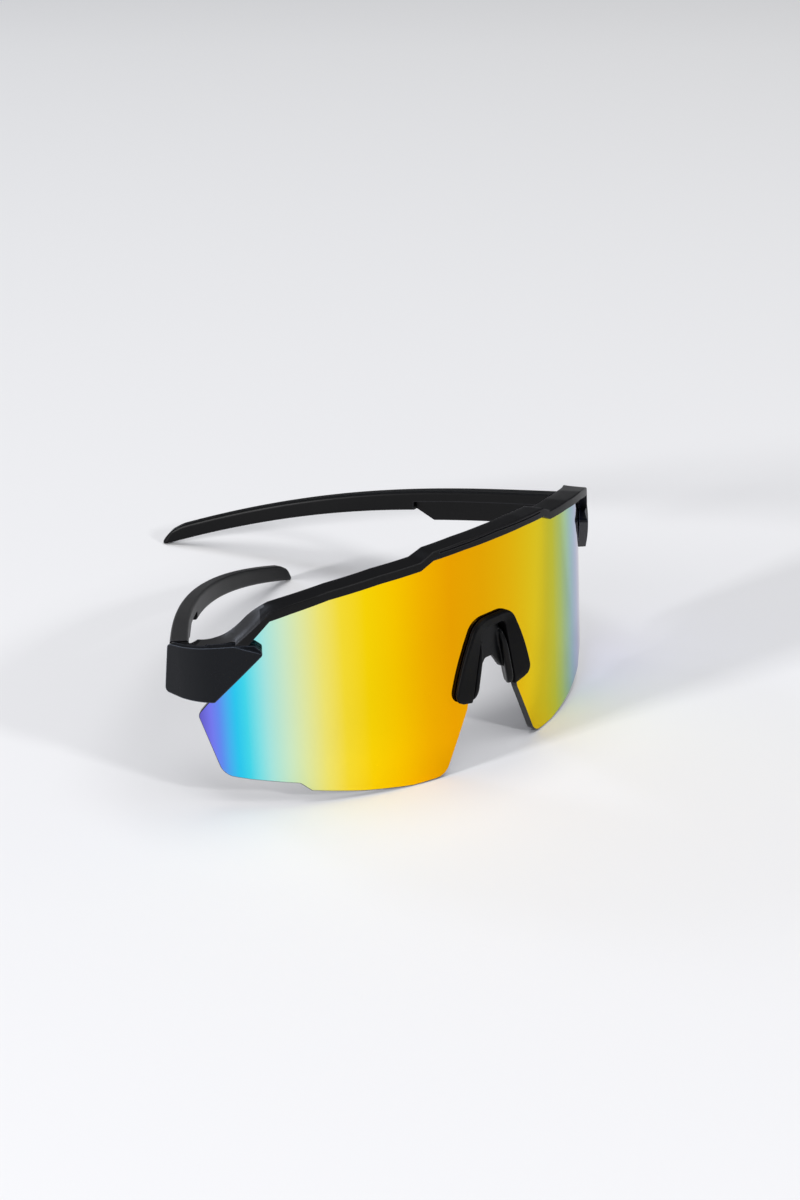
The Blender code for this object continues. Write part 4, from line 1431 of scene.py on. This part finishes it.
@dataclass(frozen=True)
class NosePiece:
    """The firm clip over the lens's arch and the soft saddle in it.

    Attributes:
        form: The front that it belongs to.
        drop: How far the clip's feet lie below the arch's upper corners.
        stand: How far the clip stands out before the lens.
        lip: The rounding of its front.
        reach_top: How far its front covers the lens at the arch's top.
        reach_leg: How far it does so at the feet.
        tuck: How far that front is drawn in at the lens, at the feet.
        waist: How far the clip reaches into the opening.
        depth: How far it reaches behind the lens's front.
        back_reach: How far its rear wall covers the lens's back.
        back_wall: The thickness of that wall.
        step: The spacing of its sections.
        foot_share: The share of the full size at which a rounded end starts.
        foot_round: The length over which the clip's feet are rounded.
        pad_length: The length of a pad.
        pad_rise: The length over which a pad swells from its rounded foot.
        pad_fade: The length over which it narrows again at its top.
        pad_stations: How many steps its sections are apart.
        web_setback: How far the web lies behind the lens's front.
        web_wall: The web's thickness.
        web_drop: How far its lower edge lies below the arch's top.
        web_leg: The width of its legs, and half the length of that edge.
        web_start: How far its legs reach down from the arch's top.
        skin_step: The spacing of the points in the saddle's skin.
        skin_rounds: How often that skin is eased.
        section: A pad's section, clockwise: distance inward from the lens's edge and depth behind
            its front. It is fullest beside the lens and flares outward behind the clip.
    """

    form: FrontForm
    drop: float = 0.0190
    stand: float = 0.0016
    lip: float = 0.0005
    reach_top: float = 0.0021
    reach_leg: float = 0.0053
    tuck: float = 0.0004
    waist: float = 0.0008
    depth: float = 0.0029
    back_reach: float = 0.0024
    back_wall: float = 0.0007
    step: float = 0.0005
    foot_share: float = 0.35
    foot_round: float = 0.0030
    pad_length: float = 0.0165
    pad_rise: float = 0.0038
    pad_fade: float = 0.0070
    pad_stations: int = 24
    web_setback: float = 0.0012
    web_wall: float = 0.0016
    web_drop: float = 0.0098
    web_leg: float = 0.0014
    web_start: float = 0.0140
    skin_step: float = 0.00022
    skin_rounds: int = 6
    section: tuple[tuple[float, float], ...] = (
        (0.0011, -0.0004),
        (0.0015, -0.0010),
        (0.0020, -0.0010),
        (0.0025, -0.0005),
        (0.0027, 0.0001),
        (0.0025, 0.0007),
        (0.0020, 0.0014),
        (0.0015, 0.0022),
        (0.0011, 0.0030),
        (0.0004, 0.0037),
        (-0.0008, 0.0045),
        (-0.0024, 0.0052),
        (-0.0034, 0.0054),
        (-0.0038, 0.0051),
        (-0.0034, 0.0046),
        (-0.0018, 0.0041),
        (0.0002, 0.0034),
        (0.0011, 0.0024),
    )

    def arch(self) -> list[tuple[Vector, Vector, float]]:
        """Finds places along the lens's arch from its right foot to its left.

        Returns:
            For each place: the place, its outward direction and its share of the way up the leg.
        """
        form, shares = self.form, self.form.lens_shares
        top = Vector((shares[0][0] * form.half_arc, shares[0][1] * form.height))
        low = Vector((shares[1][0] * form.half_arc, shares[1][1] * form.height))
        foot = top.lerp(low, self.drop / (top.y - low.y))
        turn = [(foot.x, foot.y, 0.0), (top.x, top.y, form.arch_corner), (0.0, top.y, 0.0)]
        bend = rounded(turn)[1:-1]
        legs = max(2, round((foot - bend[0]).length / self.step))
        half = [foot.lerp(bend[0], index / legs) for index in range(legs)] + bend
        whole = half + [Vector((0.0, top.y))] + [Vector((-spot.x, spot.y)) for spot in reversed(half)]
        rows = []
        for index, here in enumerate(whole):
            before, after = whole[max(index - 1, 0)], whole[min(index + 1, len(whole) - 1)]
            heading = (after - before).normalized()
            rise = (here.y - foot.y) / (top.y - foot.y)
            rows.append((here, Vector((heading.y, -heading.x)), rise))
        return rows

    def clip_ring(self, here: Vector, outward: Vector, rise: float, swell: float) -> Ring:
        """Draws one section of the clip round the edge of the lens, tucked in where they meet.

        Args:
            here: The place on the arch.
            outward: The direction onto the lens.
            rise: The share of the way up the leg.
            swell: The share of its full size that the section has.

        Returns:
            The section's points.
        """
        reach = self.reach_leg + (self.reach_top - self.reach_leg) * rise**2
        tuck, root = self.tuck * (1.0 - rise), GAP + self.lip
        back, stand, lip = -self.form.wall - GAP, self.stand, self.lip
        points = (
            (reach - tuck, GAP, lip / 6),
            (reach - lip / 4, stand - lip, lip / 2),
            (reach - lip, stand, lip / 2),
            (reach - 2 * lip, stand - lip / 4, 0.0),
            (-self.waist, stand / 2, lip / 2),
            (-self.waist, -self.depth, lip / 6),
            (-self.waist / 3, -self.depth, lip / 6),
            (self.back_reach, back - self.back_wall, lip / 4),
            (self.back_reach, back, lip / 8),
            (-GAP, back, 0.0),
            (-GAP, GAP, 0.0),
        )
        ring = []
        for spot in rounded(points, steps=3):
            onto = root + (spot.x - root) * swell if spot.x > root else spot.x
            high = GAP + (spot.y - GAP) * swell if spot.y > GAP else spot.y
            place = here + outward * onto
            ring.append(self.form.on_lens(place.x, high, place.y))
        return ring

    def swell(self, short: float) -> float:
        """The share of full size that a rounded end has; short is 1 at its tip, 0 where it is full."""
        return self.foot_share + (1.0 - self.foot_share) * math.sqrt(1.0 - short * short)

    def build_clip(self, palette: Palette) -> None:
        """Builds the clip.

        Args:
            palette: The finishes.
        """
        rows = self.arch()
        low = rows[0][0]
        rings = []
        for here, outward, rise in rows:
            far = math.hypot(abs(here.x) - low.x, here.y - low.y)
            short = 1.0 - min(far / self.foot_round, 1.0)
            rings.append(self.clip_ring(here, outward, rise, self.swell(short)))
        blank = Blank("nose_clip_arch", loft(rings), self.form.place())
        dress(blank.finish(), (palette.dull,), "front", "nose_clip")

    def pad_rings(self, side: Side) -> list[Ring]:
        """Draws the sections of one pad, from its foot upward along a leg of the clip.

        Args:
            side: The pad's side.

        Returns:
            The sections in order.
        """
        rows = [row for row in self.arch() if side.value * row[0].x > 0]
        if side is Side.LEFT:
            rows.reverse()
        foot, outward = rows[0][0], rows[0][1]
        heading = (rows[1][0] - rows[0][0]).normalized()
        root = Vector(self.section[-1])
        rings = []
        for index in range(self.pad_stations + 1):
            along = self.pad_length * index / self.pad_stations
            short = max(1.0 - along / self.pad_rise, 1.0 - (self.pad_length - along) / self.pad_fade)
            swell = self.swell(max(short, 0.0))
            here = foot + heading * along
            ring = []
            for spot in self.section:
                inward, deep = root + (Vector(spot) - root) * swell
                across, up = here - outward * inward
                ring.append(self.form.on_lens(across, -deep, up))
            rings.append(ring)
        return rings

    def web(self) -> bmesh.types.BMesh:
        """Shapes the web between the pads, under the clip's top and arched at its lower edge.

        Returns:
            The closed web.
        """
        rows = self.arch()
        crown = max(here.y for here, _, _ in rows)
        above = [row for row in rows if row[0].y > crown - self.web_start]
        rim = [here - outward * (self.waist + 2 * GAP) for here, outward, _ in above]
        leg = Vector((self.web_leg, 0.0))
        foot = crown - self.web_drop
        arch = [Vector((-self.web_leg, foot)), Vector((self.web_leg, foot))]
        outline = rim + [rim[-1] + leg] + arch + [rim[0] - leg]
        front = -self.web_setback
        return slab(outline, front - self.web_wall, front, self.form.on_lens, self.step)

    def build_saddle(self, palette: Palette) -> None:
        """Builds the soft saddle as one moulded skin.

        Args:
            palette: The finishes.
        """
        blank = Blank("nose_saddle_soft", loft(self.pad_rings(Side.RIGHT)), self.form.place())
        blank.work(Operation.JOIN, loft(self.pad_rings(Side.LEFT)))
        blank.work(Operation.JOIN, self.web())
        blank.blend(self.skin_step, self.skin_rounds)
        made = blank.finish(sharp=math.radians(60.0))
        dress(made, (palette.rubber,), "front", "nose_saddle")


@dataclass(frozen=True)
class TempleForm:
    """One temple: a long arm with a rail over a recessed inner panel.

    Attributes:
        form: The front that it belongs to.
        hinge: The hinge that it turns on.
        length: How far its tip lies behind the pin.
        butt: How far its root lies behind the pin.
        butt_rake: How much farther back the root's lower corner lies.
        butt_fade: The length over which that rake runs out.
        bow: How far inward the tip bows.
        root_top: The height of its top edge over the pin's middle at the root.
        outer: How far its outer face lies outward of the pin.
        width: Its thickness at the root.
        tip_width: Its thickness at the tip.
        stem_height: Its height behind the panel, carried forward to the root.
        tip_height: Its height at the tip.
        tip_sink: How far the straight lower edge would sink into the table at the tip.
        root_depth: Its height at the root.
        panel_depth: Its height from the panel's middle on.
        panel_length: How far behind the pin the panel keeps that height.
        panel_runout: The length over which the panel then runs out.
        edge: The rounding of its edges at the root, which doubles toward the tip.
        step: The spacing of its sections.
        rail_height: The height of the rail over the panel.
        block_wall: How deep the panel's rear lies in the arm.
        block_setback: How deep the panel's face lies in the arm.
        block_edge: The rounding of the panel's edges.
        tip_round: The length over which the tip is rounded.
        tip_rake: How much sooner the top edge ends at the tip.
        tip_reach: The length over which that rake grows.
        tip_turn: How far round the tip's curve the last section lies.
        tip_steps: How many sections the curve has.
        open_splay: How far outward the open temple splays.
        left_fold: How far the left temple is folded in from there.
        right_fold: How far the right temple is.
        bow_shares: Terms of the inward bow along the length, as shares of the whole bow.
        drop_shares: Terms of the downward run of the top edge, as shares of the whole drop.
    """

    form: FrontForm
    hinge: HingeForm
    length: float = 0.1265
    butt: float = 0.0025
    butt_rake: float = 0.0012
    butt_fade: float = 0.00576
    bow: float = 0.0316
    root_top: float = 0.0055
    outer: float = 0.0035
    width: float = 0.0045
    tip_width: float = 0.0027
    stem_height: float = 0.0063
    tip_height: float = 0.0046
    tip_sink: float = 0.0006
    root_depth: float = 0.0110
    panel_depth: float = 0.0091
    panel_length: float = 0.0432
    panel_runout: float = 0.0062
    edge: float = 0.0006
    step: float = 0.0015
    rail_height: float = 0.0033
    block_wall: float = 0.0030
    block_setback: float = 0.0016
    block_edge: float = 0.0002
    tip_round: float = 0.0020
    tip_rake: float = 0.0026
    tip_reach: float = 0.0060
    tip_turn: float = math.radians(84.0)
    tip_steps: int = 8
    open_splay: float = math.radians(4.0)
    left_fold: float = math.radians(43.8)
    right_fold: float = math.radians(7.4)
    bow_shares: tuple[float, float, float] = (0.0, 0.22, 0.78)
    drop_shares: tuple[float, float, float] = (0.80, -0.11, 0.31)

    def bowed(self, along: float) -> float:
        """Finds how far the arm has bowed in.

        Args:
            along: The distance behind the pin.

        Returns:
            The distance inward.
        """
        share = along / self.length
        terms = enumerate(self.bow_shares)
        return self.bow * sum(term * share ** (power + 1) for power, term in terms)

    def top(self, along: float) -> float:
        """Finds the height of the top edge.

        Args:
            along: The distance behind the pin.

        Returns:
            The height over the pin's middle.
        """
        share = along / self.length
        drop = self.form.hinge_spot(Side.RIGHT).z + self.root_top - self.tip_height + self.tip_sink
        terms = enumerate(self.drop_shares)
        return self.root_top - drop * sum(term * share ** (power + 1) for power, term in terms)

    def foot(self, along: float) -> float:
        """Finds the height of the lower edge.

        Args:
            along: The distance behind the pin.

        Returns:
            The height over the pin's middle.
        """
        share = along / self.length
        stem = self.stem_height + (self.tip_height - self.stem_height) * share
        near = min(along / (self.panel_length / 2), 1.0)
        deep = self.root_depth + (self.panel_depth - self.root_depth) * near
        past = min(max((along - self.panel_length) / self.panel_runout, 0.0), 1.0)
        return self.top(along) - (deep + (stem - deep) * past)

    def placer(self, side: Side) -> Placer:
        """Makes the map from a straight temple to the bowed one.

        Args:
            side: The temple's side.

        Returns:
            The map, into the temple's own frame on the hinge's axis.
        """

        def place(along: float, inward: float, up: float) -> Vector:
            """Finds a place on the temple.

            Args:
                along: The distance behind the pin.
                inward: The distance inward from the middle of the arm's thickness.
                up: The height over the pin's middle.

            Returns:
                The place.
            """
            share = max(along, 0.0) / self.length
            turn = math.atan2(self.bowed(along + GAP) - self.bowed(along - GAP), 2 * GAP)
            inner = inward * (self.width + (self.tip_width - self.width) * share) / self.width
            x = self.outer - self.width / 2 - self.bowed(along) - inner * math.cos(turn)
            return Vector((side.value * x, along - inner * math.sin(turn), up))

        return place

    def ring(self, along: float, swell: float, place: Placer) -> Ring:
        """Draws one section of the arm, crisp at the root and round toward the tip.

        Args:
            along: The distance behind the pin.
            swell: The share of its full size that the section has.
            place: The map onto the temple.

        Returns:
            The section's points.
        """
        share = along / self.length
        half = self.width / 2
        top, foot = self.top(along), self.foot(along)
        middle = (top + foot) / 2
        edge = self.edge * (1.0 + share)
        corners = [(half, top, edge), (half, foot, edge), (-half, foot, edge), (-half, top, edge)]
        rake = self.butt_rake / (self.top(self.butt) - self.foot(self.butt))
        fade = max(0.0, 1.0 - (along - self.butt) / self.butt_fade)
        past = max(0.0, 1.0 - (self.length - along) / self.tip_reach)
        slant = self.tip_rake * past / (top - foot)
        ring = []
        for spot in rounded(corners, steps=5):
            high = middle + (spot.y - middle) * swell
            back = rake * (top - high) * fade - slant * (high - foot)
            ring.append(place(along + back, spot.x * swell, high))
        return ring

    def rings(self, place: Placer) -> list[Ring]:
        """Draws the arm's sections from its root to its rounded tip.

        Args:
            place: The map onto the temple.

        Returns:
            The sections in order.
        """
        shelf = (self.panel_length / 2, self.panel_length, self.panel_length + self.panel_runout)
        straight = self.length - self.tip_round
        steps = round((straight - self.butt) / self.step)
        stops = [self.butt + (straight - self.butt) * index / steps for index in range(steps + 1)]
        stops = [stop for stop in stops if all(abs(stop - mark) > self.step / 2 for mark in shelf)]
        made = [self.ring(stop, 1.0, place) for stop in sorted(stops + list(shelf))]
        for step in range(1, self.tip_steps + 1):
            turn = self.tip_turn * step / self.tip_steps
            reach = straight + self.tip_round * math.sin(turn)
            made.append(self.ring(reach, math.cos(turn), place))
        return made

    def panel_outline(self, margin: float) -> Outline:
        """Draws the inner panel as seen from the side.

        Args:
            margin: How far it is grown into the room that it needs; 0 for the panel itself.

        Returns:
            The outline in (along, up).
        """
        end = self.panel_length + self.panel_runout
        count = math.ceil(end / self.step)
        stops = [self.butt + (end - self.butt) * index / count for index in range(count + 1)]
        foot = margin + OVERRUN if margin else 0.0
        upper = [Vector((along, self.top(along) - self.rail_height + margin)) for along in stops]
        marks = [stop for stop in stops[1:] if stop < self.panel_length - GAP] + [self.panel_length]
        lower = [Vector((along, self.foot(along) - foot)) for along in reversed(marks)]
        butt = Vector((self.butt + self.butt_rake, self.foot(self.butt) - foot))
        outline = upper + [Vector((end + margin, self.foot(end) + GAP - foot / 2))] + lower + [butt]
        if margin:
            outline[0].x -= OVERRUN / 2
            outline[-1].x -= OVERRUN / 2
        return outline

    def sheet(self, margin: float, low: float, high: float, place: Placer) -> bmesh.types.BMesh:
        """The inner panel, or with a margin the room for it, between two depths."""
        return slab(self.panel_outline(margin), low, high, place, self.step)

    def build(self, palette: Palette, side: Side) -> None:
        """Builds one arm and its inner panel.

        Args:
            palette: The finishes.
            side: The temple's side.
        """
        place, hinge, half = self.placer(side), self.hinge, self.width / 2
        fold = (self.left_fold if side is Side.LEFT else self.right_fold) - self.open_splay
        frame_of = self.form.hinge(side, fold)
        body = f"temple_{side.label}"
        arm = Blank(f"temple_arm_{side.label}", loft(self.rings(place)), frame_of)
        room = self.sheet(GAP, half - self.block_wall - GAP, half + OVERRUN, place)
        arm.work(Operation.CUT, room)
        arm.work(Operation.CUT, hinge.room(hinge.knuckle + GAP))
        dress(arm.finish(), (palette.fine,), body, f"temple_{side.label}")

        panel = self.sheet(0.0, half - self.block_wall, half - self.block_setback, place)
        blank = Blank(f"temple_panel_{side.label}", panel, frame_of)
        blank.soften(self.block_edge, segments=2)
        blank.work(Operation.CUT, hinge.room(hinge.knuckle + GAP))
        blank.work(Operation.JOIN, pin(hinge.knuckle, hinge.tongue_foot, hinge.tongue_top))
        inner = self.outer - self.width
        spread = (inner + 2 * GAP, inner + self.block_wall - GAP)
        edges = sorted(side.value * edge for edge in spread)
        low = (edges[0], 0.0, hinge.tongue_foot + GAP / 2)
        high = (edges[1], self.butt + OVERRUN / 2, hinge.tongue_top - GAP / 2)
        blank.work(Operation.JOIN, block(low, high))
        bore = pin(hinge.screw + GAP, hinge.tongue_foot - OVERRUN, hinge.tongue_top + OVERRUN)
        blank.work(Operation.CUT, bore)
        node = f"hinge_block_{side.label}"
        dress(blank.finish(), (palette.fine,), body, node)


# The studio


def aim(made: bpy.types.Object, spot: Sequence[float], target: Sequence[float]) -> None:
    """Stands a lamp or the camera at its spot and turns it to what it faces.

    Args:
        made: The lamp or the camera.
        spot: Where it stands.
        target: What it faces.
    """
    made.location = spot
    heading = Vector(target) - Vector(spot)
    made.rotation_euler = heading.to_track_quat("-Z", "Y").to_euler()


@dataclass(frozen=True)
class Lamp:
    """A soft rectangular lamp that faces a point.

    Attributes:
        name: The lamp's name.
        spot: Where it hangs.
        target: What it faces.
        size: Its two sides.
        power: Its power in watts.
        colour: The colour of its light.
    """

    name: str
    spot: tuple[float, float, float]
    target: tuple[float, float, float]
    size: tuple[float, float]
    power: float
    colour: str = "#ffffff"

    def hang(self) -> None:
        """Hangs the lamp."""
        light = bpy.data.lights.new(self.name, "AREA")
        light.shape = "RECTANGLE"
        light.size, light.size_y = self.size
        light.energy = self.power
        light.color = srgb(self.colour)[:3]
        aim(link(self.name, light), self.spot, self.target)


@dataclass(frozen=True)
class Studio:
    """The pale paper floor, the soft lamps and the camera at the photograph's angle.

    Attributes:
        eye: Where the camera stands.
        target: What it faces.
        focal_mm: Its focal length.
        sensor_mm: The long side of its sensor.
        sight: The nearest and farthest that it sees.
        ambient: How strongly the dim room around the table lights the glasses.
        reach: Half the floor's side.
        lamps: A large soft light over the table, a faint window behind it and a small lamp low on
            each side.
    """

    eye: tuple[float, float, float] = (-0.3848, -0.433425, 0.2793)
    target: tuple[float, float, float] = (-0.0336, -0.081425, 0.0535)
    focal_mm: float = 71.2
    sensor_mm: float = 36.0
    sight: tuple[float, float] = (0.01, 20.0)
    ambient: float = 0.12
    reach: float = 6.0
    lamps: tuple[Lamp, ...] = (
        Lamp("ceiling_softbox", (0.15, -0.40, 2.2), (0.15, -0.40, 0.0), (2.2, 2.2), 36.5),
        Lamp("far_window", (-0.20, 1.35, 0.80), (-0.05, -0.04, 0.03), (0.34, 0.34), 2.4, "#e6eeff"),
        Lamp("right_lamp", (0.10, -1.19, 0.59), (0.0, -0.04, 0.0), (0.14, 0.14), 4.9),
        Lamp("left_lamp", (-1.35, 0.15, 0.315), (0.0, -0.04, 0.0), (0.18, 0.18), 19.5),
    )

    def light(self) -> None:
        """Sets the room's dim light and hangs the lamps."""
        world = bpy.data.worlds.new("dim_room")
        bpy.context.scene.world = world
        world.use_nodes = True
        background = world.node_tree.nodes["Background"]
        background.inputs["Color"].default_value = srgb("#f4f6ff")
        background.inputs["Strength"].default_value = self.ambient
        for lamp in self.lamps:
            lamp.hang()

    def lay_floor(self) -> None:
        """Lays the paper flat under the glasses and far past them."""
        bm = bmesh.new()
        corners = [(-self.reach, -self.reach), (self.reach, -self.reach)]
        corners += [(self.reach, self.reach), (-self.reach, self.reach)]
        bm.faces.new([bm.verts.new((x, y, 0.0)) for x, y in corners])
        mesh = bpy.data.meshes.new("paper_floor")
        bm.to_mesh(mesh)
        bm.free()
        mesh.materials.append(CoatedPaper().build())
        floor = link("paper_floor", mesh)
        floor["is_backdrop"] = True

    def stand_camera(self) -> None:
        """Stands the camera where the photograph was taken from."""
        data = bpy.data.cameras.new("camera")
        data.lens = self.focal_mm
        data.sensor_width = self.sensor_mm
        data.clip_start, data.clip_end = self.sight
        made = link("camera", data)
        aim(made, self.eye, self.target)
        bpy.context.scene.camera = made
        bpy.context.scene.view_settings.view_transform = "Standard"


def write_sizes() -> None:
    boxes = {"cad": CAD_BOX, "visual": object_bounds()}
    plain = {name: [list(corner) for corner in box] for name, box in boxes.items()}


def main() -> None:
    """Builds and dresses each piece in order, then sets up the studio."""
    logging.basicConfig(level=logging.INFO, format="%(name)s: %(message)s")
    form = FrontForm()
    palette = Palette(form.radius)
    hinge, cover, nose = HingeForm(), CoverForm(form), NosePiece(form)
    temple = TempleForm(form, hinge)
    ShieldLens(form).build(palette)
    BrowBar(form).build(palette, hinge, cover)
    nose.build_clip(palette)
    nose.build_saddle(palette)
    for side in Side:
        cover.build(palette, side)
        temple.build(palette, side)
    hinge.dress_fasteners(palette)
    studio = Studio()
    studio.lay_floor()
    studio.light()
    studio.stand_camera()
    write_sizes()


if __name__ == "__main__":
    main()
